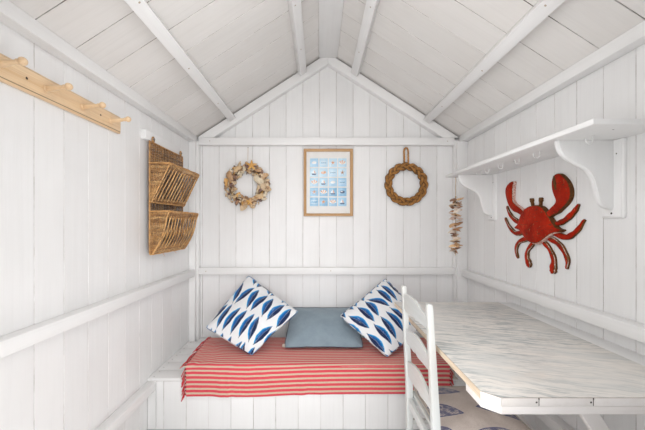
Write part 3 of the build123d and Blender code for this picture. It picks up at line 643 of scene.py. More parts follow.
def felt_material():
    k = Tree("mineral_felt")
    o = k.obj()
    grit = k.noise(o, 900.0, 2.0, 0.7)
    big = k.noise(o, 3.0, 4.0, 0.6)
    c = k.mix(k.remap(grit, 0.35, 0.65), (0.085, 0.105, 0.105), (0.20, 0.235, 0.235))
    c = k.mix(k.math("MULTIPLY", k.remap(big, 0.45, 0.75), 0.5), c, (0.26, 0.27, 0.25))
    n = k.bump(k.math("ADD", grit, k.math("MULTIPLY", k.noise(o, 30.0, 2.0), 0.6)), 0.0012, 0.8)
    return k.set(Base_Color=c, Normal=n, Roughness=k.remap(big, 0.2, 0.8, 0.82, 0.95))


FELT = felt_material()
p = Part(43)
ROOF_T = 0.018
LEN = EAVES_X / CP
for s in (-1, 1):
    D, N = Vector((s * CP, 0, -SP)), Vector((s * SP, 0, CP))
    for d0, d1, lift0, lift1 in ((LEN - 0.66, LEN - 0.002, 0.0002, 0.0002), (0.002, LEN - 0.58, 0.0002, 0.0030)):
        rows = []
        steps = 26
        for i in range(steps + 1):
            w = i / steps
            d = d0 + (d1 - d0) * w
            lift = lift0 + (lift1 - lift0) * (1 if w > 0.75 else w / 0.75)
            ring = []
            m = 60
            for j in range(m + 1):
                yy = -VERGE_Y + 2 * VERGE_Y * j / m
                wave = 0.0009 * noise.noise(Vector((yy * 5, d * 6, s * 3)))
                ring.append(Vector((0, yy, APEX)) + D * (d - ROOF_T * TAN * 0) + N * (ROOF_T + lift + 0.0024 + max(wave, -0.0008)))
            for j in range(m, -1, -1):
                yy = -VERGE_Y + 2 * VERGE_Y * j / m
                ring.append(Vector((0, yy, APEX)) + D * d + N * (ROOF_T + lift))
            rows.append(ring)
        p.shell(rows, (D, Y, N), None, 0.0, 0)
        yy = -VERGE_Y + 0.02
        while yy < VERGE_Y:
            dome(p, Vector((0, yy, APEX)) + D * (d1 - 0.022) + N * (ROOF_T + lift1 + 0.0026), N, 0.0045, 0.0009, 1, 7)
            yy += 0.055
    for yy in (-VERGE_Y + 0.014, VERGE_Y - 0.014):
        d = 0.08
        while d < LEN - 0.02:
            dome(p, Vector((0, yy, APEX)) + D * d + N * (ROOF_T + 0.0046), N, 0.0045, 0.0009, 1, 7)
            d += 0.07
# the cap strip folded over the ridge
cap = []
m = 50
cap_pts = [(-0.150, 0.0), (-0.075, 0.0), (-0.02, 0.0), (0.0, 0.0), (0.02, 0.0), (0.075, 0.0), (0.150, 0.0)]
for j in range(m + 1):
    yy = -VERGE_Y + 2 * VERGE_Y * j / m
    outer, inner = [], []
    for a, _ in cap_pts:
        s = 1 if a > 0 else -1
        base_z = APEX - TAN * abs(a) + (ROOF_T + 0.0030) / CP
        if abs(a) < 0.001:
            base_z -= 0.003
        wave = 0.0007 * noise.noise(Vector((yy * 6, a * 12, 4)))
        outer.append(Vector((a, yy, base_z + 0.0034 + max(wave, -0.0005))))
        inner.append(Vector((a, yy, base_z + 0.0006)))
    cap.append(outer + inner[::-1])
p.shell(cap, (Y, X, Z), None, 0.3, 0)
for s in (-1, 1):
    yy = -VERGE_Y + 0.02
    while yy < VERGE_Y:
        dome(p, (s * 0.135, yy, APEX - TAN * 0.135 + (ROOF_T + 0.003) / CP + 0.0032), (s * SP, 0, CP), 0.0045, 0.0009, 1, 7)
        yy += 0.055
p.make("roof_felt_sheets", [FELT, NAIL], ["roof_felt"], "roofing_felt")

p = Part(44)
RISE = (ROOF_T + 0.004) / CP + 0.004
for y0, y1 in ((VERGE_Y, VERGE_Y + 0.020), (-VERGE_Y - 0.020, -VERGE_Y)):
    for s in (-1, 1):
        slope = Vector((s * CP, 0, -SP))
        e = EAVES_X + 0.008
        prism(
            p,
            [(s * 0.0005, roof_z(0) + RISE), (s * e, roof_z(e) + RISE), (s * e, roof_z(e) + RISE - 0.120), (s * 0.0005, roof_z(0) + RISE - 0.120)],
            X, Z, Y, y0, y1, r=0.003, b=0.002, axes=(slope, Y, slope.cross(Y)),
        )
        out = 1 if y0 > 0 else -1
        yo = VERGE_Y + 0.020
        for k in range(9):
            x = s * (0.05 + k * 0.128)
            for dz in (-0.035, -0.090):
                dome(p, (x, out * yo, roof_z(x) + RISE + dz), (0, out, 0), 0.0032, 0.0005, 1, 7)
p.make("barge_board_timbers", [FRAME_PAINT, NAIL], ["barge_boards"], "painted_frame")

# ------------------------------------------------------------------ doors
DOOR_W, DOOR_H, DOOR_Z, OPEN = 0.640, 1.738, F + 0.020, math.radians(104)
for s, name in ((-1, "door_left"), (1, "door_right")):
    along = Vector((-s * math.cos(OPEN), -math.sin(OPEN), 0))
    inward = Vector((-s * math.sin(OPEN), math.cos(OPEN), 0))
    hinge = Vector((s * (DOOR_X + 0.008), -OUT_Y - 0.008, 0))
    p = Part(50 + s)
    for u0, u1 in spans(0.0, DOOR_W, 0.128, 0.128):
        board(
            p, u0, u1, along, inward, Z, hinge, 0.020,
            lambda u, v: DOOR_Z, lambda u, v: DOOR_Z + DOOR_H, gap=0.0014, tongue=0.006 if u1 < DOOR_W - 0.01 else 0, first=u0 < 0.001,
        )
        for z in (177.0, 877.0, 1577.0):
            for q in (u0 + 0.03, u1 - 0.03):
                dome(p, hinge + along * q + Z * (DOOR_Z + z / 1000 + 0.028), inward * -1, 0.003, 0.0005, 1, 7)
    p.make(name + "_boards", [DOOR_PAINT, NAIL], [name], "painted_doors")

p = Part(55)
q_h = Part(56)
for s in (-1, 1):
    along = Vector((-s * math.cos(OPEN), -math.sin(OPEN), 0))
    inward = Vector((-s * math.sin(OPEN), math.cos(OPEN), 0))
    hinge = Vector((s * (DOOR_X + 0.008), -OUT_Y - 0.008, 0))
    for z in (0.130, 0.830, 1.530):
        z0 = DOOR_Z + z
        prism(
            p, [(0.0202, z0), (0.042, z0), (0.042, z0 + 0.095), (0.0202, z0 + 0.095)], inward, Z, along, 0.040, DOOR_W - 0.040,
            origin=hinge, r=0.004, b=0.003,
        )
        for a in (0.075, 0.2, 0.32, 0.44, 0.565):
            for dz in (0.025, 0.070):
                dome(p, hinge + along * a + inward * 0.042 + Z * (z0 + dz), inward, 0.0035, 0.0006, 1, 8)
    for z in (0.177, 0.877, 1.577):
        zc = DOOR_Z + z
        pts = [(0.006, -0.017), (0.045, -0.017), (0.300, -0.010), (0.318, -0.015), (0.330, 0.0), (0.318, 0.015), (0.300, 0.010), (0.045, 0.017), (0.006, 0.017)]
        rings = []
        for d, inn in ((-0.0001, 0.0), (-0.0030, 0.0), (-0.0038, 0.0012)):
            rings.append([hinge + along * (a + (0.0 if not inn else (inn if a < 0.1 else -inn))) + Z * (zc + b * (1 - inn * 40)) + inward * d for a, b in pts])
        q_h.shell(rings, (along, Z, inward), None, 0, 0)
        for a in (0.03, 0.10, 0.19, 0.28):
            dome(q_h, hinge + along * a + Z * zc + inward * -0.0038, inward * -1, 0.0042, 0.0016, 0, 8)
        lathe(q_h, [(0.0045, -0.021), (0.0055, -0.020), (0.0055, 0.020), (0.0045, 0.021)], hinge + along * 0.0035 + Z * zc + inward * 0.001, Z, 12)
p.make("door_ledge_timbers", [DOOR_PAINT, NAIL], ["door_ledges"], "painted_doors")
q_h.make("door_strap_hinges", [IRON], ["door_hinges"], "black_iron", fix=True)

# ------------------------------------------------------- bench, bare boards
def slab(part, poly, A, B, C, c0, c1, origin=(0, 0, 0), b=0.002, mat=0, warp=None, rim=0.0, tint=None, axes=None, steps=None, keep=None):
    """A plate of any outline, its edges eased by b. rim marks the eased edge as worn."""
    o = Vector(origin)
    rings, edges = [], []
    n = len(poly)
    for d, c, e in steps or ((b, c0, rim), (b * 0.3, c0 + b * 0.3, rim), (0, c0 + b, rim * 0.6), (0, c1 - b, rim * 0.6), (b * 0.3, c1 - b * 0.3, rim), (b, c1, rim)):
        ring = inset(poly, d) if d else list(poly)
        if keep:
            ring = [keep(q, w) for q, w in zip(poly, ring)]
        rings.append([warp(u, v, c) if warp else o + A * u + B * v + C * c for u, v in ring])
        edges.append([e] * n)
    # one more ring well inside each face, so that only the rim is worn
    for k, at in ((0, 0), (-1, len(rings))):
        d, c, _ = (steps or ((b, c0, rim), (0, 0, 0), (0, 0, 0), (0, 0, 0), (0, 0, 0), (b, c1, rim)))[k]
        ring = inset(poly, d + max(b, 0.0015))
        if keep:
            ring = [keep(q, w) for q, w in zip(poly, ring)]
        row = [warp(u, v, c) if warp else o + A * u + B * v + C * c for u, v in ring]
        if at:
            rings.append(row)
            edges.append([0.0] * n)
        else:
            rings.insert(0, row)
            edges.insert(0, [0.0] * n)
    part.shell(rings, axes or (C, A, B), edges, tint, mat)


p = Part(60)
for x0, x1 in ((-IN_X + 0.0012, -IN_X + 0.0488), (IN_X - 0.0488, IN_X - 0.0012)):
    board(p, x0, x1, X, Y, Z, (0, BENCH_Y, 0), 0.016, lambda u, v: F + 0.0005, lambda u, v: LOW_TOP - 0.0505, tongue=0.0)
for u0, u1 in spans(-0.9968, 0.9968, -0.8255, 0.1275):
    board(p, u0, u1, X, Y, Z, (0, BENCH_Y, 0), 0.016, lambda u, v: F + 0.0005, lambda u, v: LOW_TOP - 0.0004, tongue=0.005 if u1 < 0.99 else 0.0)
p.make("bench_front_boards", [WALL], ["bench_front"], "painted_wall_boards")

p = Part(61)
for k in range(5):
    y = BENCH_Y + 0.118 * k
    bar(p, -IN_X + 0.0006, IN_X - 0.0006, y, y + 0.115, LOW_TOP + 0.0002, BENCH_TOP, "x", r=0.003, b=0.002)
    for x in (-1.02, -0.5, 0.0, 0.5, 1.02):
        for q in (0.025, 0.09):
            dome(p, (x, y + q, BENCH_TOP), Z, 0.0032, 0.0002, 1, 7)
bar(p, -0.985, 0.962, 1.1165, IN_Y - 0.0004, LOW_TOP + 0.0002, BENCH_TOP, "x", r=0.003, b=0.002)
p.make("bench_seat_slats", [FRAME_PAINT, NAIL], ["bench_seat"], "painted_frame")


# ------------------------------------------------------------------ table
def laminate_material():
    k = Tree("marble_laminate", Coat_Weight=0.15, Coat_Roughness=0.25)
    o = k.obj()
    u = k.dot(o, (0.957, -0.29, 0.0))
    v = k.dot(o, (0.29, 0.957, 0.0))
    wander = k.noise(o, 3.2, 3.0, 0.55)
    v = k.math("ADD", v, k.math("MULTIPLY", wander, 0.10))
    broad = k.noise(k.xyz(k.math("MULTIPLY", u, 2.4), k.math("MULTIPLY", v, 17.0)), 1.0, 4.0, 0.6)
    thin = k.noise(k.xyz(k.math("MULTIPLY", u, 8.0), k.math("MULTIPLY", v, 78.0), 3.0), 1.0, 4.0, 0.60, 0.5)
    fleck = k.noise(k.xyz(k.math("MULTIPLY", u, 26.0), k.math("MULTIPLY", v, 170.0), 7.0), 1.0, 2.0, 0.5)
    where = k.remap(k.noise(o, 2.9, 2.0), 0.36, 0.60, 0.25, 1.0)
    c = k.mix(k.remap(broad, 0.42, 0.66), (0.815, 0.775, 0.725), (0.670, 0.665, 0.640))
    c = k.mix(k.math("MULTIPLY", k.math("MULTIPLY", k.remap(thin, 0.50, 0.62), where), 0.90), c, (0.330, 0.365, 0.370))
    c = k.mix(k.math("MULTIPLY", k.math("MULTIPLY", k.remap(fleck, 0.54, 0.68), where), 0.60), c, (0.270, 0.295, 0.300))
    c = k.mix(k.math("MULTIPLY", k.remap(k.noise(o, 7.0, 3.0, 0.6), 0.64, 0.80), 0.25), c, (0.620, 0.500, 0.400))
    n = k.bump(k.noise(o, 700.0, 2.0), 0.00012, 0.4)
    return k.set(Base_Color=c, Normal=n, Roughness=k.remap(k.noise(o, 14.0, 3.0), 0.3, 0.7, 0.30, 0.42))


LAMINATE = laminate_material()
CORE = simple("laminate_core", (0.23, 0.145, 0.085), 0.6)
HOLE = simple("dark_hole", (0.045, 0.028, 0.02), 0.8)
LIPPING = raw_wood("pale_lipping", (0.86, 0.735, 0.575), (0.79, 0.635, 0.465), 0.6, 0.0003)
T_OUT = [(0.366, 0.555), (0.366, -0.447), (0.404, -0.483), (0.965, -0.483), (0.965, 0.555)]
SHEET_T, STRIP_T = 0.0011, 0.0075
p = Part(62)
prism(p, inset(T_OUT, STRIP_T + 0.0003), X, Y, Z, TABLE_TOP - TABLE_T + 0.0015, TABLE_TOP - SHEET_T - 0.0002, r=0.001, b=0.0006, axes=(Y, X, Z))
prism(p, inset(T_OUT, 0.0006), X, Y, Z, TABLE_TOP - SHEET_T, TABLE_TOP, r=0.002, b=0.0003, mat=1, axes=(Y, X, Z))
p.m[-1] = 2
inner = inset(T_OUT, STRIP_T)
for i, cuts in ((0, (0.36,)), (1, ()), (2, (0.5013 - 0.404, 0.643 - 0.404))):
    a, b_, ia, ib = (Vector(q).to_2d() for q in (T_OUT[i], T_OUT[i + 1], inner[i], inner[i + 1]))
    d = (b_ - a).normalized()
    whole = (b_ - a).length
    stops = [0.0, *cuts, whole]
    for j in range(len(stops) - 1):
        s0, s1 = stops[j] + (0.0003 if j else 0.0002), stops[j + 1] - 0.0003
        q0 = ia if j == 0 else ia + d * (s0 - (ia - a).dot(d))
        q1 = ib if j == len(stops) - 2 else ia + d * (s1 - (ia - a).dot(d))
        quad = [a + d * s0, a + d * s1, q1, q0]
        sag = p.rng.uniform(-0.0003, 0.0003)
        prism(p, [tuple(q) for q in quad], X, Y, Z, TABLE_TOP - TABLE_T + 0.0002 + sag, TABLE_TOP - SHEET_T - 0.0001, r=0.0008, b=0.0009, axes=(Vector((d.x, d.y, 0)), Z, X), mat=4 if i == 0 else 0)
for x in (0.5013, 0.643):
    dome(p, (x - 0.0062, -0.483, TABLE_TOP - 0.0120), (0, -1, 0), 0.0025, 0.0002, 3, 10)
    prism(p, [(x - 0.0007, -0.4834), (x + 0.0007, -0.4834), (x + 0.0007, -0.480), (x - 0.0007, -0.480)], X, Y, Z, TABLE_TOP - 0.0210, TABLE_TOP - 0.0012, r=0.0002, b=0.0002, mat=3)
    prism(p, [(x - 0.0016, -0.4836), (x + 0.0014, -0.4836), (x + 0.0010, -0.480), (x - 0.0010, -0.480)], X, Y, Z, TABLE_TOP - 0.0046, TABLE_TOP - 0.0012, r=0.0002, b=0.0002, mat=3)
p.make("table_board", [TABLE_PAINT, CORE, LAMINATE, HOLE, LIPPING], ["table_top"], "table_laminate", angle=28)

p = Part(63)
prism(p, [(0.368, -0.3562), (0.368, -0.446), (0.405, -0.4812), (0.9648, -0.4812), (0.9648, -0.3562)], X, Y, Z, F + 0.670, F + 0.6922, r=0.001, b=0.0022, axes=(X, Y, Z))
p.make("table_batten_board", [TABLE_PAINT], ["table_batten"], "painted_table")

p = Part(64)
bar(p, 0.9672, IN_X - 0.0003, -0.483, 0.555, F + 0.670, F + 0.7147, "y", r=0.002, b=0.0015)
p.make("table_ledger_timber", [FRAME_PAINT], ["table_ledger"], "painted_table")

p = Part(65)
for x_top, x_low, wide, y0, y1, slope in ((0.655, IN_X - 0.05, 0.046, -0.354, -0.330, 1.55), (0.500, IN_X - 0.05, 0.038, 0.282, 0.320, 1.22)):
    z_top = TABLE_TOP - TABLE_T - 0.0004
    wx = wide / math.sin(math.atan(slope))
    z_low = z_top - (x_low - x_top) * slope
    d = Vector((1, 0, -slope)).normalized()
    prism(p, [(x_top, z_top), (x_top + wx, z_top), (x_low - 0.0004, z_low + wx * slope), (x_low - 0.0004, z_low)], X, Z, Y, y0, y1, r=0.002, b=0.0018, axes=(d, Y, d.cross(Y)))
p.make("table_brace_timbers", [TABLE_PAINT], ["table_struts"], "painted_table")

# ------------------------------------------------------- shelf and brackets
p = Part(66)
prism(p, [(SHELF_X, -0.306), (IN_X - 0.0005, -0.306), (IN_X - 0.0005, 0.891), (SHELF_X, 0.891)], X, Y, Z, SHELF_Z0 + 0.0003, SHELF_Z1, r=0.003, b=0.0022, axes=(Y, X, Z))
for y in (-0.25, 0.30, 0.80):
    dome(p, (0.905, y, SHELF_Z0 + 0.0003), Z * -1, 0.0030, 0.0002, 1, 9)
p.make("shelf_plank", [SHELF_PAINT, HOLE], ["shelf"], "painted_shelf")

PLATE_X = IN_X - 0.015
BRACKET_Y = (-0.1005, 0.7555)
p = Part(67)
for yc in BRACKET_Y:
    zb, zt = SHELF_Z0 - 0.291, SHELF_Z0 - 0.0005
    poly = [(yc - 0.048, zt), (yc - 0.048, zb + 0.009), (yc - 0.041, zb), (yc + 0.041, zb), (yc + 0.048, zb + 0.009), (yc + 0.048, zt)]
    slab(p, poly, Y, Z, X, PLATE_X, IN_X - 0.0004, mat=0, axes=(Z, Y, X), steps=(
        (0.0078, PLATE_X, 0.0), (0.0072, PLATE_X + 0.0006, 0.0), (0.0068, PLATE_X + 0.0028, 0.0), (0.0045, PLATE_X + 0.0034, 0.0),
        (0.0018, PLATE_X + 0.0050, 0.0), (0.0004, PLATE_X + 0.0080, 0.0), (0.0, PLATE_X + 0.0100, 0.0), (0.0, IN_X - 0.0006, 0.0), (0.0006, IN_X - 0.0004, 0.0),
    ), keep=lambda q, w, zt=zt: (w[0], q[1]) if q[1] > zt - 0.001 else w)
    dome(p, (PLATE_X, yc - 0.001, SHELF_Z0 - 0.273), X * -1, 0.0042, 0.0003, 1, 10)
    dome(p, (PLATE_X, yc - 0.022, SHELF_Z0 - 0.052), X * -1, 0.0028, 0.0003, 1, 9)
p.make("bracket_back_plates", [SHELF_PAINT, HOLE], ["shelf_backplates"], "painted_shelf")

SCROLL = (
    (-0.210, -0.008), (-0.206, -0.025), (-0.197, -0.046), (-0.180, -0.065), (-0.137, -0.091), (-0.100, -0.112), (-0.079, -0.141),
    (-0.066, -0.181), (-0.057, -0.218), (-0.045, -0.244), (-0.017, -0.257),
)
p = Part(68)
curve = [(PLATE_X - 0.0003 + q.x, SHELF_Z0 - 0.0003 + q.y) for q in smooth_path([(a, b, 0) for a, b in SCROLL], 4)]
poly = [(PLATE_X - 0.0003, SHELF_Z0 - 0.0003), (PLATE_X - 0.2103, SHELF_Z0 - 0.0003), *curve, (PLATE_X - 0.0003, SHELF_Z0 - 0.2590)]


def flush(q, w):
    return (q[0] if q[0] > PLATE_X - 0.001 else w[0], q[1] if q[1] > SHELF_Z0 - 0.001 else w[1])


for yc in BRACKET_Y:
    y0, y1 = yc - 0.0105, yc + 0.0105
    slab(p, poly, X, Z, Y, y0, y1, axes=(Z, X, Y), keep=flush, steps=(
        (0.0062, y0, 0.0), (0.0057, y0 + 0.0004, 0.0), (0.0053, y0 + 0.0021, 0.0), (0.0030, y0 + 0.0025, 0.0), (0.0010, y0 + 0.0038, 0.0), (0.0, y0 + 0.0058, 0.0),
        (0.0, y1 - 0.0058, 0.0), (0.0010, y1 - 0.0038, 0.0), (0.0030, y1 - 0.0025, 0.0), (0.0053, y1 - 0.0021, 0.0), (0.0057, y1 - 0.0004, 0.0), (0.0062, y1, 0.0),
    ))
p.make("scroll_brackets", [SHELF_PAINT], ["shelf_brackets"], "painted_shelf", angle=40)

WHITE_COAT = simple("white_coating", (0.86, 0.86, 0.85), 0.3, 0.0, 0.05, 90.0, 0.0001)
HOOK_Y = (-0.176, 0.072, 0.215, 0.353, 0.492, 0.584)
p = Part(69)
for i, y in enumerate(HOOK_Y):
    x, z = (0.900 if i == 0 else 0.880), SHELF_Z0
    line = [(x, y, z - 0.0002), (x, y, z - 0.008), (x, y, z - 0.017)]
    line += [(x - 0.012 + 0.012 * math.cos(a), y, z - 0.017 - 0.0125 * math.sin(a)) for a in (0.4, 0.8, 1.2, 1.57, 1.95, 2.35, 2.75)]
    line += [(x - 0.0243, y, z - 0.0165), (x - 0.0250, y, z - 0.0085)]
    turn = p.rng.uniform(-0.25, 0.25)
    spun = []
    for q in smooth_path(line, 2):
        r = Vector(q) - Vector((x, y, 0))
        spun.append(Vector((x + r.x * math.cos(turn) - r.y * math.sin(turn), y + r.x * math.sin(turn) + r.y * math.cos(turn), q.z)))
    tube(p, spun, lambda w: 0.0022 if w < 0.97 else 0.0017, 8)
    lathe(p, [(0.0050, -0.0003), (0.0052, -0.0010), (0.0040, -0.0022), (0.0022, -0.0028)], (x, y, z), Z, 14)
p.make("cup_hooks", [WHITE_COAT], ["shelf_hooks"], "white_hooks", angle=50)


# ------------------------------------------------------- left wall fittings
def varnished(name, light, dark, rough=0.35):
    k = Tree(name, Coat_Weight=0.35, Coat_Roughness=0.2)
    g = k.attr("gv", "Vector")
    rings = k.noise(k.scaled(g, (2.4, 70.0, 70.0)), 1.0, 4.0, 0.6, 0.8)
    fine = k.noise(k.scaled(g, (11.0, 500.0, 500.0)), 1.0, 2.0)
    c = k.mix(k.remap(rings, 0.32, 0.70), light, dark)
    c = k.mix(k.math("MULTIPLY", k.remap(fine, 0.5, 0.75), 0.35), c, tuple(x * 0.6 for x in dark))
    c = k.mix(k.math("MULTIPLY", k.remap(k.noise(g, 18.0, 2.0), 0.55, 0.8), 0.3), c, tuple(x * 0.7 for x in dark))
    # edge darkens the wood as painted shade, in the peg rail's moulded groove
    c = k.mix(k.remap(k.attr("edge"), 0.1, 0.9, 0.0, 0.85), c, tuple(x * 0.30 for x in dark))
    n = k.bump(k.math("ADD", rings, k.math("MULTIPLY", fine, 0.4)), 0.0004, 0.5)
    return k.set(Base_Color=c, Normal=n, Roughness=k.remap(rings, 0.2, 0.8, rough - 0.05, rough + 0.12))


PINE = varnished("varnished_pine", (0.880, 0.665, 0.430), (0.740, 0.490, 0.270))
OAK = varnished("waxed_oak", (0.56, 0.330, 0.140), (0.43, 0.230, 0.085), 0.45)
PEG_Y = [0.167 - 0.178 * k for k in range(6)]
p = Part(70)
y0, y1, z0, z1, xi = -0.807, 0.251, F + 1.603, F + 1.685, -IN_X
prism(p, [(z0, y0), (z1, y0), (z1, y1), (z0, y1)], Z, Y, X, xi + 0.0003, xi + 0.012, r=0.002, b=0.0008, axes=(Y, Z, X))
# the moulded lip, its groove marked dark with edge as painted shade
slab(p, [(z0, y0), (z1, y0), (z1, y1), (z0, y1)], Z, Y, X, xi + 0.012, xi + 0.020, axes=(Y, Z, X), steps=(
    (0.0004, xi + 0.0118, 0.0), (0.0012, xi + 0.0132, 0.0), (0.0035, xi + 0.0150, 0.0), (0.0058, xi + 0.0162, 0.1), (0.0070, xi + 0.0158, 1.0),
    (0.0080, xi + 0.0184, 0.8), (0.0092, xi + 0.0196, 0.0), (0.0110, xi + 0.0200, 0.0),
))
for y in (-0.626, -0.264, 0.098):
    dome(p, (xi + 0.020, y, (z0 + z1) / 2), X, 0.0045, 0.0003, 1, 12)
p.make("peg_rail_board", [PINE, HOLE], ["peg_rail"], "pine")

p = Part(71)
for y in PEG_Y:
    axis = Vector((math.cos(0.10), 0, math.sin(0.10)))
    base = Vector((-IN_X + 0.0185, y, F + 1.640))
    turned = [(0.0100, 0.0), (0.0135, 0.0022), (0.0140, 0.0042), (0.0125, 0.0064), (0.0098, 0.0072), (0.0092, 0.0092), (0.0105, 0.0130), (0.0110, 0.0200),
              (0.0103, 0.0300), (0.0090, 0.0420), (0.0076, 0.0530), (0.0068, 0.0600), (0.0066, 0.0635), (0.0088, 0.0650), (0.0090, 0.0668), (0.0074, 0.0682)]
    turned += [(0.0126 * math.sin(a), 0.0819 - 0.0126 * math.cos(a)) for a in (0.55, 0.8, 1.1, 1.4, 1.7, 2.0, 2.3, 2.6, 2.85, 3.05)]
    lathe(p, turned, base, axis, 24, ref=Y)
p.make("turned_pegs", [PINE], ["pegs"], "pine", angle=32)

p = Part(72)
bar(p, -IN_X + 0.0003, -IN_X + 0.029, 0.455, 0.900, F + 1.635, F + 1.687, "y", r=0.002, b=0.0012)
p.make("basket_batten_timber", [SHELF_PAINT], ["basket_batten"], "painted_shelf")


# ------------------------------------------------------------ picture frame
def print_material():
    k = Tree("printed_tiles", Coat_Weight=0.5, Coat_Roughness=0.06)
    t = k.attr("tint")
    c = k.ramp(k.remap(t, -1.0, 1.0), [(0.0, (0.235, 0.485, 0.710)), (0.35, (0.335, 0.580, 0.790)), (0.7, (0.480, 0.700, 0.860)), (1.0, (0.600, 0.780, 0.900))])
    o = k.obj()
    c = k.mix(k.remap(k.noise(k.scaled(o, (1.0, 1.0, 3.0)), 30.0, 3.0), 0.35, 0.7, 0.0, 0.25), c, (0.75, 0.86, 0.93))
    return k.set(Base_Color=c, Roughness=k.remap(k.noise(o, 40.0, 1.0), 0.3, 0.7, 0.40, 0.5))


def motif_material(name, colour):
    k = Tree(name, Coat_Weight=0.5, Coat_Roughness=0.06)
    n = k.noise(k.obj(), 160.0, 3.0, 0.6)
    return k.set(Base_Color=k.mix(k.remap(n, 0.35, 0.7), colour, tuple(min(x * 1.5 + 0.03, 0.95) for x in colour)), Roughness=k.remap(n, 0.3, 0.7, 0.40, 0.5))


TILE = print_material()
PAPER = simple("white_mount", (0.83, 0.82, 0.80), 0.5, 0.0, 0.04, 30.0, 0.0001)
MOTIFS = [motif_material("motif_" + n, c) for n, c in (("brown", (0.40, 0.20, 0.10)), ("white", (0.86, 0.85, 0.83)), ("navy", (0.035, 0.075, 0.16)), ("orange", (0.72, 0.33, 0.16)))]
x0, x1, z0, z1, M = -0.187, 0.192, F + 1.226, F + 1.745, 0.021
yf = IN_Y - 0.024
p = Part(73)
outer = [(x0, z0), (x1, z0), (x1, z1), (x0, z1)]
inner = inset(outer, M)
for i in range(4):
    j = (i + 1) % 4
    a, b_, c, d = (Vector((q[0], 0, q[1])) for q in (outer[i], outer[j], inner[j], inner[i]))
    along = (b_ - a).normalized()
    into = (d - a) - along * (d - a).dot(along)
    into.normalize()
    # the moulding's section: across from the outer edge, and depth from the front
    section = [(0.0, 0.0220), (0.0, 0.0022), (0.0012, 0.0006), (0.0035, 0.0), (0.0080, 0.0), (0.0135, 0.0012), (0.0185, 0.0040), (0.0205, 0.0052), (0.0210, 0.0062), (0.0210, 0.0110), (0.0150, 0.0220)]
    rings = []
    for end in (0, 1):
        ring = []
        for w, dep in section:
            start = a if end == 0 else b_
            s = 1 if end == 0 else -1
            ring.append(start + into * w + along * (s * (w + 0.0002)) + Y * (yf + dep))
        rings.append(ring)
    full = [rings[0]]
    for t in (0.02, 0.2, 0.4, 0.6, 0.8, 0.98):
        full.append([u.lerp(v, t) for u, v in zip(rings[0], rings[1])])
    full.append(rings[1])
    p.shell(full, (along, into, Y), None, None, 0)
# the mount, and tiles printed on it in their own layout
bx0, bx1, bz0, bz1 = x0 + M - 0.002, x1 - M + 0.002, z0 + M - 0.002, z1 - M + 0.002
prism(p, [(bx0, bz0), (bx1, bz0), (bx1, bz1), (bx0, bz1)], X, Z, Y, yf + 0.0112, yf + 0.0212, r=0.0005, b=0.0004, mat=1)
ty = yf + 0.0112
cols, rows_n, tile, gap_x, gap_z = 4, 5, 0.064, 0.0085, 0.0095
tall = 0.066
left = (x0 + x1) / 2 - (cols * tile + (cols - 1) * gap_x) / 2
top = z1 - M - 0.052
tone = random.Random(88)
for r in range(rows_n):
    for c in range(cols):
        tx, tz = left + c * (tile + gap_x), top - r * (tall + gap_z)
        shade = -0.2 + 0.9 * math.sin(r * 1.2 + c * 0.35) + tone.uniform(-0.3, 0.3)
        prism(p, [(tx, tz - tall), (tx + tile, tz - tall), (tx + tile, tz), (tx, tz)], X, Z, Y, ty - 0.00025, ty + 0.0001, r=0.0006, b=0.0001, mat=2, tint=max(-1, min(1, shade)))
        cx, cz = tx + tile / 2, tz - tall / 2
        kind = (r * 3 + c * 2) % 5
        front = ty - 0.00045
        m1, m2 = 3 + tone.randrange(4), 3 + tone.randrange(4)

        def flat(points, mat, lift=0.0):
            prism(p, points, X, Z, Y, front - lift, front + 0.0002, r=0.0006, b=0.00005, mat=mat)

        if kind == 0:        # a pebble and its shadow
            flat([(cx + 0.019 * math.cos(a) * (1 + 0.1 * math.sin(2 * a)), cz + 0.011 * math.sin(a)) for a in [i * math.tau / 16 for i in range(16)]], m1)
            flat([(cx - 0.004 + 0.009 * math.cos(a), cz + 0.004 + 0.003 * math.sin(a)) for a in [i * math.tau / 12 for i in range(12)]], 4, 0.0001)
        elif kind == 1:      # a fan shell
            for i in range(7):
                a0, a1 = math.pi * (0.12 + i * 0.109), math.pi * (0.12 + i * 0.109 + 0.095)
                q = [(cx, cz - 0.016), (cx + 0.031 * math.cos(a0), cz - 0.016 + 0.034 * math.sin(a0)), (cx + 0.031 * math.cos(a1), cz - 0.016 + 0.034 * math.sin(a1))]
                flat(q, 6 if i % 2 else 4)
        elif kind == 2:      # three wavelets
            for k3 in range(3):
                for i in range(6):
                    u0, u1 = -0.021 + i * 0.007, -0.0138 + i * 0.007
                    w0, w1 = (0.0022 * math.sin(u * 420 + k3) for u in (u0, u1))
                    flat([(cx + u0, cz + w0 + 0.012 - k3 * 0.012), (cx + u1, cz + w1 + 0.012 - k3 * 0.012), (cx + u1, cz + w1 + 0.0095 - k3 * 0.012), (cx + u0, cz + w0 + 0.0095 - k3 * 0.012)], 4 if k3 != 1 else 5)
        elif kind == 3:      # a small sail
            flat([(cx - 0.002, cz - 0.006), (cx - 0.002, cz + 0.024), (cx - 0.017, cz - 0.006)], 4)
            flat([(cx + 0.001, cz - 0.006), (cx + 0.001, cz + 0.019), (cx + 0.013, cz - 0.006)], 6)
            flat([(cx - 0.021, cz - 0.009), (cx + 0.019, cz - 0.009), (cx + 0.012, cz - 0.019), (cx - 0.014, cz - 0.019)], 5)
        else:                # a five-armed star
            for i in range(5):
                a = math.pi / 2 + i * math.tau / 5
                flat([(cx + 0.006 * math.cos(a - 0.7), cz + 0.006 * math.sin(a - 0.7)), (cx + 0.021 * math.cos(a), cz + 0.021 * math.sin(a)), (cx + 0.006 * math.cos(a + 0.7), cz + 0.006 * math.sin(a + 0.7)), (cx - 0.002 * math.cos(a), cz - 0.002 * math.sin(a))], m2 if m2 != 4 else 6)
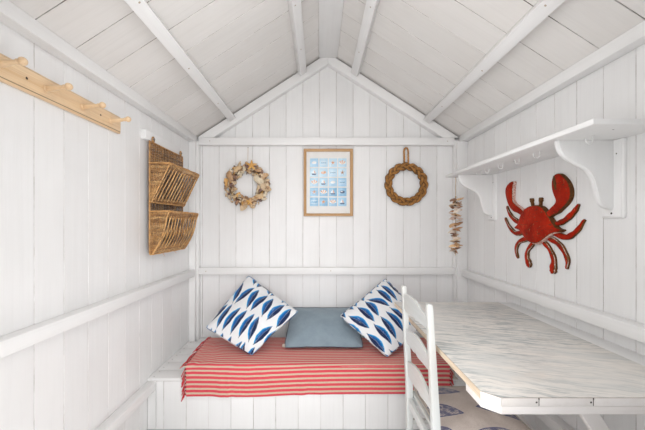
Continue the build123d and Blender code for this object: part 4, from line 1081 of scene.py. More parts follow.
tube(p, [((x0 + x1) / 2 + a, yf + 0.014, z1 + b) for a, b in ((-0.004, -0.001), (-0.004, 0.003), (0.0, 0.0055), (0.004, 0.003), (0.004, -0.001))], 0.0008, 6, mat=7)
p.make("tile_print_frame", [OAK, PAPER, TILE, *MOTIFS, NAIL], ["picture_frame"], "oak", angle=30)

# ------------------------------------------------------------------- chair
CHAIR = paint("chair_worn_paint", (0.670, 0.700, 0.705), (0.640, 0.640, 0.610), line=(0.60, 0.47, 0.31), streak=0.6, wear=1.0, rough=0.42, lines=0.75)
CHAIR_Y = (-0.151, 0.199)


def post(part, stations, r=0.004, seg=2, rim=0.42, tint=None):
    """A squared post through (z, x, y, half x, half y) stations, its arrises worn."""
    rings, edges = [], []
    z0, z1 = stations[0], stations[-1]
    b = 0.0012
    rows = [(z0[0], z0[1], z0[2], z0[3] - b, z0[4] - b), (z0[0] + b, *z0[1:]), *stations[1:-1], (z1[0] - b * (1 if z1[0] > z0[0] else -1), *z1[1:]), (z1[0], z1[1], z1[2], z1[3] - b, z1[4] - b)]
    for z, x, y, hx, hy in rows:
        ring = rounded([(x - hx, y - hy), (x + hx, y - hy), (x + hx, y + hy), (x - hx, y + hy)], r, seg)
        rings.append([Vector((a, c, z)) for a, c in ring])
        edges.append([rim * (1.0 if i % (seg + 1) == 1 else 0.45) for i in range(len(ring))])
    part.shell(rings, (Z, X, Y), edges, tint)


def slat_x(z):
    return 0.354 - (z - 0.390) * 0.026 / 0.487


p = Part(80)
for y in CHAIR_Y:
    post(p, [(F, 0.352, y, 0.0130, 0.0135), (F + 0.10, 0.353, y, 0.0135, 0.0138), (F + 0.28, 0.3535, y, 0.0150, 0.014), (F + 0.39, 0.3535, y, 0.0155, 0.014), (F + 0.46, 0.3500, y, 0.0150, 0.014),
             (F + 0.62, 0.3415, y, 0.0135, 0.0135), (F + 0.78, 0.3330, y, 0.0118, 0.013), (F + 0.868, 0.3283, y, 0.0106, 0.0125), (F + 0.877, 0.3278, y, 0.0090, 0.0115)])
    post(p, [(F, 0.704, y, 0.0120, 0.0125), (F + 0.12, 0.704, y, 0.0130, 0.0135), (F + 0.3595, 0.704, y, 0.0138, 0.0138)])
p.make("chair_stiles_and_legs", [CHAIR], ["chair_posts"], "painted_chair", angle=40)

SLATS = (
    (((217, 830), (150, 846), (90, 851), (45, 850), (7, 847), (-37, 834), (-89, 826), (-135, 822)), ((213, 776), (175, 768), (135, 764), (85, 764), (50, 770), (24, 766), (-31, 772), (-94, 777), (-135, 780))),
    (((206, 677), (170, 681), (141, 683), (95, 692), (47, 698), (10, 697), (-30, 693), (-93, 683), (-135, 676)), ((206, 620), (170, 617), (126, 615), (80, 612), (52, 618), (24, 612), (-24, 616), (-99, 622), (-135, 626))),
    (((196, 524), (150, 538), (96, 549), (50, 553), (14, 552), (-47, 541), (-92, 531), (-135, 524)), ((196, 468), (170, 461), (133, 456), (80, 456), (50, 463), (20, 456), (-29, 464), (-92, 472), (-135, 474))),
)
p = Part(81)
lo_y, hi_y = CHAIR_Y[0] + 0.0138, CHAIR_Y[1] - 0.0138
for top_line, low_line in SLATS:
    up = [(max(lo_y, min(hi_y, q.x / 1000)), q.y / 1000) for q in smooth_path([(a, b, 0) for a, b in top_line], 4)]
    down = [(max(lo_y, min(hi_y, q.x / 1000)), q.y / 1000) for q in smooth_path([(a, b, 0) for a, b in reversed(low_line)], 4)]
    seen, poly = set(), []
    for q in up + down:
        key = (round(q[0], 4), round(q[1], 4))
        if key not in seen and not (poly and math.hypot(q[0] - poly[-1][0], q[1] - poly[-1][1]) < 0.003):
            seen.add(key)
            poly.append(q)
    bow = 0.004

    def lean(u, v, c):
        return Vector((slat_x(v) + c + bow * (1 - ((u - 0.024) / 0.16) ** 2) - 0.002, u, F + v))

    slab(p, poly, Y, Z, X, -0.0055, 0.0055, b=0.0018, warp=lean, rim=0.5, axes=(Y, Z, X),
         keep=lambda q, w: (q[0] if q[0] < lo_y + 0.0008 or q[0] > hi_y - 0.0008 else w[0], w[1]))


def rail(x0, x1, y0, y1, z0, z1, along):
    """A chair rail with worn arrises."""
    c = ((x0 + x1) / 2, (y0 + y1) / 2, (z0 + z1) / 2)
    if along == "y":
        poly, A, B, C, c0, c1 = [(x0, z0), (x1, z0), (x1, z1), (x0, z1)], X, Z, Y, y0, y1
    else:
        poly, A, B, C, c0, c1 = [(y0, z0), (y1, z0), (y1, z1), (y0, z1)], Y, Z, X, x0, x1
    ring = rounded(poly, 0.003, 2)
    rings, edges = [], []
    for w in (0.0, 0.15, 0.4, 0.6, 0.85, 1.0):
        s = c0 + (c1 - c0) * w
        rings.append([A * u + B * v + C * s for u, v in ring])
        edges.append([0.45 * (1.0 if i % 3 == 1 else 0.4) for i in range(len(ring))])
    p.shell(rings, (C, A, B), edges)


for x in (0.354, 0.704):
    rail(x - 0.009, x + 0.009, lo_y, hi_y, F + 0.318, F + 0.354, "y")
    rail(x - 0.008, x + 0.008, lo_y, hi_y, F + 0.190, F + 0.212, "y")
for y in CHAIR_Y:
    rail(0.3690, 0.6902, y - 0.009, y + 0.009, F + 0.318, F + 0.354, "x")
    rail(0.3675, 0.6910, y - 0.008, y + 0.008, F + 0.130, F + 0.152, "x")
    rail(0.3690, 0.6905, y - 0.008, y + 0.008, F + 0.230, F + 0.252, "x")
p.make("chair_slats_and_rails", [CHAIR], ["chair_rails"], "painted_chair", angle=40)

p = Part(82)
poly = rounded([(0.370, CHAIR_Y[0] - 0.018), (0.728, CHAIR_Y[0] - 0.018), (0.728, CHAIR_Y[1] + 0.018), (0.370, CHAIR_Y[1] + 0.018)], 0.018, 5)
slab(p, poly, X, Y, Z, F + 0.3602, F + 0.3778, rim=0.45, b=0.0045, axes=(Y, X, Z))
p.make("chair_seat_board", [CHAIR], ["chair_seat"], "painted_chair", angle=40)

# ------------------------------------------------------------ crab plaque
def crab_material():
    """edge 0 is the red face, 1 the bare brown side and 2 the side worn to white."""
    k = Tree("crab_paint", Specular_IOR_Level=0.10)
    o = k.obj()
    e = k.attr("edge")
    cloud = k.noise(o, 16.0, 4.0, 0.6)
    c = k.mix(k.remap(cloud, 0.35, 0.68), (0.470, 0.021, 0.003), (0.250, 0.010, 0.003))
    marks = k.noise(k.scaled(o, (1.0, 0.55, 1.7)), 75.0, 3.0, 0.65, 0.6)
    c = k.mix(k.math("MULTIPLY", k.remap(marks, 0.575, 0.64), 0.80), c, (0.080, 0.030, 0.014))
    light = k.noise(k.scaled(o, (1.0, 1.8, 0.6)), 55.0, 3.0, 0.65, 0.4)
    c = k.mix(k.math("MULTIPLY", k.remap(light, 0.63, 0.70), 0.65), c, (0.46, 0.17, 0.08))
    worn = k.noise(o, 60.0, 4.0, 0.65)
    at = k.math("ADD", e, k.math("MULTIPLY", k.math("SUBTRACT", worn, 0.5), 0.9))
    brown = k.mix(k.remap(worn, 0.35, 0.65), (0.170, 0.072, 0.022), (0.070, 0.028, 0.012))
    white = k.mix(k.remap(k.noise(o, 150.0, 3.0, 0.6), 0.42, 0.62), (0.72, 0.58, 0.52), (0.42, 0.12, 0.08))
    c = k.mix(k.remap(at, 0.38, 0.62), c, brown)
    c = k.mix(k.remap(at, 1.35, 1.60), c, white)
    n = k.bump(k.math("SUBTRACT", cloud, k.math("MULTIPLY", k.remap(marks, 0.60, 0.70), 0.4)), 0.0022, 0.6)
    return k.set(Base_Color=c, Normal=n, Roughness=k.remap(cloud, 0.3, 0.7, 0.50, 0.68))


CRAB = crab_material()
WALL_X = IN_X - 0.0004
BODY = ((335, 1262), (288, 1257), (257, 1240), (228, 1208), (200, 1178), (173, 1149), (139, 1139), (166, 1126), (200, 1118), (228, 1103), (265, 1081), (295, 1068), (322, 1063), (360, 1069), (395, 1085), (431, 1111), (459, 1134), (500, 1145), (473, 1162), (457, 1191), (435, 1225), (395, 1252))
CLAW_NEAR = ((262, 1212), (237, 1229), (217, 1244), (190, 1262), (183, 1277), (193, 1296), (206, 1327), (209, 1360), (203, 1383), (189, 1397), (163, 1398), (137, 1381), (112, 1354), (97, 1325), (94, 1297), (101, 1274), (121, 1253), (147, 1235), (171, 1218), (200, 1209), (230, 1198))
CLAW_FAR = ((425, 1207), (473, 1226), (517, 1240), (556, 1272), (581, 1316), (592, 1358), (580, 1386), (553, 1404), (520, 1409), (509, 1399), (517, 1377), (519, 1335), (516, 1298), (487, 1274), (430, 1242))
LIMBS = (
    (((230, 1160), (190, 1168), (144, 1182), (101, 1210), (77, 1232), (63, 1251)), (11, 11, 13, 12, 9, 4), 1),
    (((230, 1128), (197, 1119), (138, 1107), (95, 1122), (60, 1150), (33, 1185)), (11, 11, 13, 12, 9, 4), 1),
    (((270, 1115), (240, 1097), (190, 1080), (151, 1049), (125, 1004), (131, 965)), (12, 12, 13, 12, 10, 5), 2),
    (((300, 1105), (277, 1075), (240, 1047), (211, 999), (215, 960), (216, 943), (217, 933), (217, 930)), (12, 12, 11, 14, 20, 19, 11, 3), 2),
    (((440, 1165), (478, 1174), (532, 1198), (569, 1230), (594, 1271)), (11, 12, 12, 9, 4), 1),
    (((420, 1128), (454, 1119), (512, 1115), (569, 1150), (612, 1203)), (11, 12, 12, 9, 4), 1),
    (((370, 1105), (400, 1090), (473, 1069), (504, 1026), (488, 975)), (12, 13, 12, 10, 5), 1),
    (((345, 1100), (357, 1070), (400, 1029), (410, 990), (398, 962), (392, 950), (389, 940), (388, 937)), (12, 12, 11, 14, 19, 18, 10, 3), 1),
    (((361, 1240), (361, 1262), (366, 1278), (369, 1289), (371, 1298), (371, 1301)), (7, 5, 6, 11, 9, 3), 3),
    (((301, 1235), (301, 1256), (301, 1273), (300, 1286), (299, 1296), (299, 1299)), (7, 5, 6, 11, 9, 3), 3),
)


def closed(points, per=3):
    return [(q.x / 1000, F + q.y / 1000) for q in smooth_path([(a, b, 0) for a, b in points], per, closed=True)]


p = Part(90)
ring = closed(BODY)
cy, cz = 0.325, F + 1.165
side = [2.0 if (z < F + 1.128 and y < 0.345) else 1.0 for y, z in ring]
rows, edges = [], []
for s, x, f in ((1.0, 0.0, 1.0), (1.0, 0.0185, 1.0), (0.985, 0.0215, 0.95), (0.955, 0.0240, 0.45), (0.90, 0.0265, 0.0), (0.78, 0.0295, 0.0), (0.60, 0.0322, 0.0), (0.38, 0.0340, 0.0), (0.15, 0.0348, 0.0)):
    rows.append([Vector((WALL_X - x, cy + (y - cy) * s, cz + (z - cz) * s)) for y, z in ring])
    edges.append([e * (f if e < 1.5 else min(1.0, f * 2.1)) for e in side])
p.shell(rows, (X, Y, Z), edges, 0.0)
for pts, inner_side in ((CLAW_NEAR, False), (CLAW_FAR, True)):
    ring = closed(pts)
    if inner_side:
        side = [2.0 if (y < 0.524 and z > F + 1.238 and not (y < 0.50 and z < F + 1.232)) else 1.0 for y, z in ring]
    else:
        side = [1.0] * len(ring)
    rows, edges = [], []
    for d, x, f in ((0.0, 0.0, 1.0), (0.0, 0.0150, 1.0), (0.0012, 0.0175, 0.8), (0.0030, 0.0195, 0.2), (0.0062, 0.0212, 0.0)):
        row = inset(ring, d) if d else ring
        rows.append([Vector((WALL_X - x - (0.0006 if i % 2 and side[i] > 1.5 and x > 0.01 else 0), y, z)) for i, (y, z) in enumerate(row)])
        edges.append([e * f for e in side])
    p.shell(rows, (X, Y, Z), edges, 0.0)
slot = closed(((197, 1380), (193, 1391), (185, 1390), (177, 1368), (173, 1345), (178, 1324), (187, 1336), (195, 1360)), 2)
p.shell([[Vector((WALL_X - x, y, z)) for y, z in (inset(slot, d) if d else slot)] for d, x in ((0.0, 0.0200), (0.0, 0.0216), (0.0006, 0.0218))], (X, Y, Z), [1.1] * len(slot), 0.0)
SECTION = ((-1.0, 0.0), (-1.0, 0.58), (-0.86, 0.80), (-0.5, 0.95), (0.0, 1.0), (0.5, 0.95), (0.86, 0.80), (1.0, 0.58), (1.0, 0.0))
for line, half, kind in LIMBS:
    mid = smooth_path([(0, a / 1000, F + b / 1000) for a, b in line], 5)
    wide = smooth_path([(w, 0, 0) for w in half], 5)
    rows, edges = [], []
    n = len(mid)
    for i, q in enumerate(mid):
        d = (mid[min(i + 1, n - 1)] - mid[max(i - 1, 0)]).normalized()
        across = X.cross(d)
        w = max(0.0015, wide[i].x / 1000) * (1 + 0.11 * math.sin(i * 1.05))
        h = 0.0140 if n - 1 > i > 0 else 0.0105
        if kind == 3:
            h = 0.0150
        near = -1 if across.y > 0 else 1
        rows.append([Vector((WALL_X - v * h, 0, 0)) + Vector((0, q.y, q.z)) + across * (u * w) for u, v in SECTION])
        row = []
        for u, v in SECTION:
            e = 1.0 if abs(u) > 0.95 else 0.30 if abs(u) > 0.8 else 0.0
            if kind in (1, 2) and 0.4 < u * near < 0.95 and (kind == 2 or q.y > 0.36):
                e = 1.75 + 0.25 * math.sin(i * 0.9) if u * near > 0.8 else 0.30
            elif kind == 2 and u * near > 0.95:
                e = 1.2
            if kind == 3:
                e = 1.0
            row.append(e)
        edges.append(row)
    p.shell(rows, (X, Y, Z), edges, 0.0)
p.make("carved_crab", [CRAB], ["crab_plaque"], "red_paint", angle=48)


# ------------------------------------------------------------- rope wreath
def jute_material(name, light, dark):
    k = Tree(name, Sheen_Weight=0.15)
    g = k.attr("gv", "Vector")
    fibre = k.noise(k.scaled(g, (45.0, 900.0, 1.0)), 1.0, 3.0, 0.6)
    cloud = k.noise(k.obj(), 45.0, 3.0)
    c = k.mix(k.remap(fibre, 0.32, 0.68), light, dark)
    c = k.mix(k.math("MULTIPLY", k.remap(cloud, 0.45, 0.72), 0.6), c, tuple(x * 0.55 for x in dark))
    t = k.remap(k.attr("tint"), -1.0, 1.0, 0.80, 1.12)
    c = k.node("ShaderNodeVectorMath", {0: c, "Scale": t}, operation="SCALE")
    # edge darkens the jute as painted shade, between yarns and under the strand lying over them
    c = k.mix(k.remap(k.attr("edge"), 0.15, 0.95, 0.0, 0.92), c, tuple(x * 0.16 for x in dark))
    return k.set(Base_Color=c, Normal=k.bump(fibre, 0.0012, 0.9), Roughness=k.remap(fibre, 0.3, 0.7, 0.75, 0.92))


JUTE = jute_material("plaited_jute", (0.640, 0.310, 0.075), (0.360, 0.145, 0.026))
TWINE = jute_material("pale_twine", (0.62, 0.44, 0.24), (0.42, 0.27, 0.13))
WC = Vector((0.600, 1.1725, F + 1.472))


def around(theta, rad, dep):
    return WC + Vector((rad * math.cos(theta), dep, rad * math.sin(theta)))


p = Part(91)
LAPS, STEPS = 5, 300
for j in range(3):
    core = []
    for i in range(STEPS):
        th = math.tau * i / STEPS
        ph = LAPS * th + math.tau * j / 3
        swell = 1 + 0.06 * math.sin(th * 3 + j)
        core.append(around(th, 0.1365 + 0.0195 * math.sin(ph) * swell, 0.0105 * math.sin(2 * ph) - 0.001))
    for y3 in range(5):
        path = []
        for i, q in enumerate(core):
            d = (core[(i + 1) % STEPS] - core[i - 1]).normalized()
            a = d.cross(Y).normalized()
            b = Y
            tw = math.tau * (6 * i / STEPS) + math.tau * y3 / 5 + j
            path.append(q + a * (0.0092 * math.cos(tw)) + b * (0.0058 * math.sin(tw)))

        def painted_yarn_shade(i, q, core=core, path=path):
            """Painted shade: dark where a yarn faces its neighbours, its strand's core or the strand lying over it."""
            d = (core[(i + 1) % STEPS] - core[i - 1]).normalized()
            turn = (q - path[i]).normalized().dot((path[i] - core[i]).normalized())
            wide = abs((q - core[i]).dot(d.cross(Y).normalized()))
            under = (q.y - WC.y + 0.004) / 0.014
            return max(0.0, min(1.0, max(0.25 - 0.75 * turn, under, (wide - 0.0082) / 0.0030)))

        tube(p, path, 0.0046, 8, closed=True, up=(0, 1, 0), tint=(-0.9, 0.9, -0.2, 0.5, 0.1)[y3], shade=painted_yarn_shade)
# the hanging loop
loop = [(-0.016, -0.002, 0.160), (-0.0150, -0.003, 0.190), (-0.0160, -0.002, 0.225), (-0.0165, 0.000, 0.250), (-0.0120, 0.003, 0.270), (0.0, 0.005, 0.2785), (0.0110, 0.003, 0.272), (0.0155, 0.001, 0.250), (0.0150, -0.001, 0.225), (0.0150, -0.003, 0.190), (0.0160, -0.002, 0.160)]
mid = smooth_path([WC + Vector((a, b, c)) for a, b, c in loop], 7)
for y2 in range(3):
    path = []
    for i, q in enumerate(mid):
        d = (mid[min(i + 1, len(mid) - 1)] - mid[max(i - 1, 0)]).normalized()
        a = d.cross(Y).normalized()
        tw = i * 0.50 + math.tau * y2 / 3
        path.append(q + a * (0.0036 * math.cos(tw)) + Y * (0.0036 * math.sin(tw)))
    tube(p, path, 0.0036, 6)
lathe(p, [(0.0019, 0.0), (0.0019, 0.038), (0.0042, 0.0385), (0.0045, 0.0400), (0.0030, 0.0412)], (WC.x, IN_Y, WC.z + 0.2675), (0, -1, 0), 10, mat=1)
p.make("plaited_rope_ring", [JUTE, NAIL], ["wreath_rope"], "jute", angle=70)


# ------------------------------------------------------------------ shells
def shell_material(name, tones):
    k = Tree(name, Coat_Weight=0.08, Coat_Roughness=0.4)
    g = k.attr("gv", "Vector")
    t = k.remap(k.attr("tint"), -1.0, 1.0)
    base = k.ramp(t, list(zip((0.0, 0.14, 0.28, 0.42, 0.56, 0.68, 0.80, 0.90, 0.975), tones)), "CONSTANT")
    rings = k.noise(k.scaled(g, (420.0, 6.0, 6.0)), 1.0, 3.0, 0.6)
    rays = k.noise(k.scaled(g, (10.0, 3.4, 5.0)), 1.0, 3.0, 0.6)
    c = k.mix(k.math("MULTIPLY", k.remap(rings, 0.45, 0.68), 0.55), base, (0.36, 0.19, 0.11))
    c = k.mix(k.math("MULTIPLY", k.remap(rays, 0.52, 0.70), 0.50), c, (0.84, 0.77, 0.68))
    # edge is painted shade: dark at the hinges and inner faces of fans, in the spiral grooves and in the mouths
    e = k.attr("edge")
    c = k.mix(k.remap(e, 0.3, 0.8), c, (0.075, 0.040, 0.028))
    return k.set(Base_Color=c, Normal=k.bump(rings, 0.0006, 0.6), Roughness=k.remap(rings, 0.3, 0.7, 0.42, 0.62))


SHELL = shell_material("sea_shells", (
    (0.76, 0.66, 0.48), (0.66, 0.46, 0.24), (0.48, 0.27, 0.12), (0.72, 0.55, 0.35), (0.34, 0.17, 0.075),
    (0.64, 0.40, 0.20), (0.17, 0.080, 0.040), (0.74, 0.40, 0.09), (0.12, 0.055, 0.050),
))
PALE_SHELL = shell_material("string_shells", (
    (0.93, 0.84, 0.74), (0.86, 0.66, 0.44), (0.62, 0.34, 0.15), (0.92, 0.78, 0.66), (0.50, 0.24, 0.10),
    (0.90, 0.60, 0.32), (0.24, 0.11, 0.055), (0.88, 0.52, 0.16), (0.90, 0.74, 0.66),
))
TWIG = raw_wood("wreath_twig", (0.26, 0.16, 0.09), (0.12, 0.07, 0.04), 0.85)


def turned_frame(rng, face, spread=0.8):
    """Random axes: n looks roughly along face."""
    n = (Vector(face) + Vector([rng.gauss(0, spread) for _ in range(3)])).normalized()
    a = n.cross(Vector([rng.gauss(0, 1) for _ in range(3)])).normalized()
    return a, n.cross(a), n


def fan(part, at, a, b, n, size, tint, deep=0.34, ribs=9, narrow=1.0, thick=0.0009):
    """A ribbed half shell, its hinge at one end along a."""
    NU, NV = 6, 2 * ribs + 1
    out, inn, go, gi = [], [], [], []
    for i in range(NU + 1):
        u = (i + 0.35) / (NU + 0.35)
        ro, ri, g1 = [], [], []
        for j in range(NV):
            v = (j / (NV - 1) - 0.5) * 2
            ang = v * 1.22
            reach = size * u * (1 - 0.16 * v * v)
            rib = (0.030 * size * u) * (1 if j % 2 else -1) * 0.5
            h = size * deep * (math.sin(math.pi * min(u * 0.88 + 0.05, 1.0)) * (1 - 0.72 * v * v)) + rib
            q = at + a * (reach * math.cos(ang) - size * 0.45) + b * (reach * math.sin(ang) * narrow) + n * h
            ro.append(q)
            ri.append(q - n * thick)
            g1.append((u * size, v * 4, size * 30))
        out.append(ro + ri[::-1])
        go.append(g1 + g1[::-1])
    # painted shade at the hinge and on the inner face; the ribs' stripes are colour
    rows = [[max(0.0, 0.75 - 2.2 * i / NU) + (0.22 if j % 2 and j < NV else 0.0) + (0.25 if j >= NV else 0.0) for j in range(2 * NV)] for i in range(NU + 1)]
    part.shell(out, (a, b, n), rows, tint, 0, grain=go)


def spiral(part, at, a, b, n, size, tint, fat=0.42, whorls=4.5):
    """A coiled shell along a, its grooves and the mouth on its side painted dark as shade."""
    rows, grain, steps, seg = [], [], 18, 11
    for i in range(steps + 1):
        w = i / steps
        r = size * fat * 0.5 * math.sin(math.pi * min(0.10 + w * 0.42, 0.5)) if w < 0.35 else size * fat * 0.5 * (1 - ((w - 0.35) / 0.65)) ** 0.95 * 0.94 + size * 0.012
        if w < 0.35:
            r = size * fat * 0.5 * (0.35 + 0.65 * math.sin(w / 0.35 * math.pi / 2))
        row, gr = [], []
        for j in range(seg):
            th = math.tau * j / seg
            groove = 1 + 0.13 * math.sin(math.tau * (w * whorls) + th)
            row.append(at + a * (size * (w - 0.45)) + b * (r * groove * math.cos(th)) + n * (r * groove * math.sin(th)))
            gr.append((w * size, th * 0.6, size * 20))
        rows.append(row)
        grain.append(gr)
    # painted shade in the grooves between the whorls
    lines = [[max(0.0, -0.75 * math.sin(math.tau * (i / steps * whorls) + math.tau * j / seg)) for j in range(seg)] for i in range(steps + 1)]
    part.shell(rows, (a, b, n), lines, tint, 0, grain=grain)
    # the mouth: a shallow dent painted dark as the shade inside the shell
    m = at + a * (-size * 0.26) + n * (size * fat * 0.47)
    rows = []
    for s, h in ((1.0, -0.004), (1.0, 0.0004), (0.8, 0.0012), (0.45, -0.0002)):
        rows.append([m + a * (size * 0.15 * s * math.cos(t)) + b * (size * 0.085 * s * math.sin(t)) + n * h for t in [math.tau * q / 9 for q in range(9)]])
    part.shell(rows, (a, b, n), [[0.1] * 9, [0.2] * 9, [0.9] * 9, [1.0] * 9], tint, 0)


def star(part, at, a, b, n, size, tint):
    rows = []
    pts = 10
    for s, h in ((0.97, 0.0), (1.0, 0.0012), (0.80, 0.0034), (0.42, 0.0052), (0.10, 0.0060)):
        ring = []
        for i in range(pts * 2):
            th = math.tau * i / (pts * 2)
            arm = 0.5 + 0.5 * math.cos(th * 5)
            r = size * (0.16 + 0.34 * arm ** 1.25) * s
            ring.append(at + a * (r * math.cos(th)) + b * (r * math.sin(th)) + n * (h * (0.5 + 0.5 * arm)))
        rows.append(ring)
    part.shell(rows, (a, b, n), [0.0] * (pts * 2), tint, 0)


p = Part(92)
rng = random.Random(317)
SC = Vector((-0.623, 1.163, F + 1.462))
for k3 in range(5):
    pts = []
    for i in range(48):
        th = math.tau * i / 48
        ph = th * 3 + k3 * math.tau / 5
        pts.append(SC + Vector(((0.127 + 0.010 * math.cos(ph)) * math.cos(th), 0.018 + 0.009 * math.sin(ph), (0.127 + 0.010 * math.cos(ph)) * math.sin(th))))
    tube(p, pts, 0.0058, 6, mat=1, closed=True)
tints = [-0.98, -0.85, -0.62, -0.40, -0.30, -0.05, 0.10, 0.25, 0.45, 0.66, 0.90, 0.97]
weights = [10, 12, 12, 6, 12, 12, 10, 9, 12, 8, 6, 7]


def hue():
    return rng.choices(tints, weights)[0]


for layer, count, depth, spread in ((0, 64, 0.010, 0.9), (1, 84, -0.010, 0.9), (2, 56, -0.024, 0.8)):
    for i in range(count):
        th = math.tau * (i + rng.uniform(-0.35, 0.35)) / count
        rad = 0.130 + rng.choice((-1, 1)) * abs(rng.gauss(0, (0.030, 0.026, 0.018)[layer]))
        rad = max(0.095, min(0.166, rad))
        at = SC + Vector((rad * math.cos(th), depth + rng.uniform(-0.004, 0.004), rad * math.sin(th)))
        outward = Vector((math.cos(th), 0, math.sin(th))) * ((rad - 0.13) * 16)
        a, b, n = turned_frame(rng, Vector((0, -1, 0)) + outward, spread * 0.45)
        kind = rng.random()
        if kind < 0.50:
            fan(p, at, a, b, n, rng.uniform(0.022, 0.035), hue(), deep=rng.uniform(0.26, 0.42), ribs=rng.choice((6, 7, 8)), narrow=rng.uniform(0.8, 1.05))
        elif kind < 0.86:
            spiral(p, at, a, b, n, rng.uniform(0.024, 0.038), hue(), fat=rng.uniform(0.40, 0.68), whorls=rng.uniform(3, 5))
        else:
            spiral(p, at, a, b, n, rng.uniform(0.034, 0.046), hue(), fat=rng.uniform(0.22, 0.30), whorls=rng.uniform(5, 7))
for dx, dz, s, t in ((0.046, 0.146, 0.076, 0.88), (0.034, -0.128, 0.056, 0.88)):
    at = SC + Vector((dx, -0.040, dz))
    star(p, at, Vector((0.95, 0.05, 0.3)).normalized(), Vector((-0.3, 0.05, 0.95)).normalized(), Vector((0.05, -1, 0.05)).normalized(), s * 1.15, t)
for dx, dz, s, t in ((0.150, -0.012, 0.064, -0.05), (0.096, 0.042, 0.056, -0.85), (0.140, 0.064, 0.046, 0.45), (0.108, -0.082, 0.046, -0.62), (-0.020, -0.150, 0.062, -0.05), (-0.062, 0.118, 0.044, -0.70), (-0.118, 0.072, 0.050, -0.40), (-0.150, 0.020, 0.042, 0.90)):
    a = Vector((rng.uniform(-1, 1), 0.0, rng.uniform(-1, 1))).normalized()
    n = Vector((0.1, -1, 0.1)).normalized()
    b = n.cross(a).normalized()
    fan(p, SC + Vector((dx, -0.026, dz)), a, b, n * (-1 if t > -0.1 else 1), s, t, deep=0.30, ribs=9)
tube(p, [SC + Vector((0.006, 0.012, 0.125)), SC + Vector((0.006, 0.016, 0.20)), SC + Vector((0.005, 0.028, 0.295))], 0.0013, 6, mat=2, tint=0.6)
lathe(p, [(0.0016, 0.0), (0.0016, 0.010), (0.0034, 0.0105), (0.0030, 0.0120)], (SC.x + 0.005, IN_Y, SC.z + 0.295), (0, -1, 0), 9, mat=3)
p.make("shell_ring", [SHELL, TWIG, TWINE, NAIL], ["wreath_shells"], "shell", angle=50)

p = Part(93)
rng = random.Random(552)
S0 = Vector((0.850, 0.862, 0))
cord = [S0 + Vector((0.0006 * math.sin(i), 0.0006 * math.cos(i * 1.7), SHELF_Z0 - 0.0004 - 0.0175 * i)) for i in range(31)]
tube(p, cord, 0.0017, 6, mat=1, tint=0.8)
lathe(p, [(0.0040, 0.0), (0.0060, -0.0035), (0.0050, -0.0075), (0.0020, -0.0095)], (S0.x, S0.y, F + 1.352), (0, 0, 1), 10, mat=1, tint=0.8)
z = F + 1.336
while z > F + 0.972:
    az = rng.uniform(0, math.tau)
    tilt = rng.gauss(0, 0.30)
    a = Vector((math.cos(az) * math.cos(tilt), math.sin(az) * math.cos(tilt), math.sin(tilt)))
    n = (Z + Vector([rng.gauss(0, 0.28) for _ in range(3)])).normalized() * rng.choice((1, 1, -1))
    n = (n - a * n.dot(a)).normalized()
    b = n.cross(a)
    size = rng.uniform(0.044, 0.060)
    at = S0 + Vector((math.cos(az), math.sin(az), 0)) * (size * 0.36) + Z * z
    if rng.random() < 0.72:
        fan(p, at, a, b, n, size, hue(), deep=rng.uniform(0.12, 0.26), ribs=rng.choice((7, 8, 9)), narrow=rng.uniform(0.45, 0.85), thick=0.0013)
    elif rng.random() < 0.6:
        spiral(p, at, a, b, n, size * 0.95, hue(), fat=rng.uniform(0.26, 0.42), whorls=rng.uniform(3, 5))
    else:
        fan(p, at, a, b, n, size * 0.85, hue(), deep=0.34, ribs=6, narrow=1.0, thick=0.0013)
    z -= rng.uniform(0.0055, 0.0085)
p.make("hanging_shells", [PALE_SHELL, TWINE], ["shell_string"], "shell", angle=50)


# ------------------------------------------------------------- wall basket
def willow_material():
    k = Tree("willow_rods", Coat_Weight=0.12, Coat_Roughness=0.4)
    g = k.attr("gv", "Vector")
    grain = k.noise(k.scaled(g, (30.0, 500.0, 1.0)), 1.0, 3.0, 0.6)
    blot = k.noise(g, 24.0, 3.0, 0.6)
    t = k.remap(k.attr("tint"), -1.0, 1.0)
    c = k.ramp(t, [(0.0, (0.085, 0.032, 0.011)), (0.35, (0.320, 0.135, 0.040)), (0.7, (0.640, 0.330, 0.105)), (1.0, (0.860, 0.540, 0.230))])
    c = k.mix(k.remap(blot, 0.42, 0.66, 0.0, 0.80), c, (0.130, 0.058, 0.024))
    c = k.mix(k.math("MULTIPLY", k.remap(k.noise(g, 60.0, 2.0), 0.55, 0.68), 0.55), c, (0.72, 0.48, 0.24))
    c = k.mix(k.math("MULTIPLY", k.remap(grain, 0.5, 0.75), 0.35), c, (0.66, 0.44, 0.24))
    # edge is painted shade: near black behind the stakes and inside the pockets
    c = k.mix(k.remap(k.attr("edge"), 0.2, 1.0, 0.0, 0.9), c, (0.022, 0.010, 0.005))
    return k.set(Base_Color=c, Normal=k.bump(grain, 0.0006, 0.6), Roughness=k.remap(grain, 0.3, 0.7, 0.45, 0.65))


WILLOW = willow_material()
BX, BY0, BY1 = -IN_X + 0.034, 0.481, 0.924
p = Part(94)
rng = p.rng


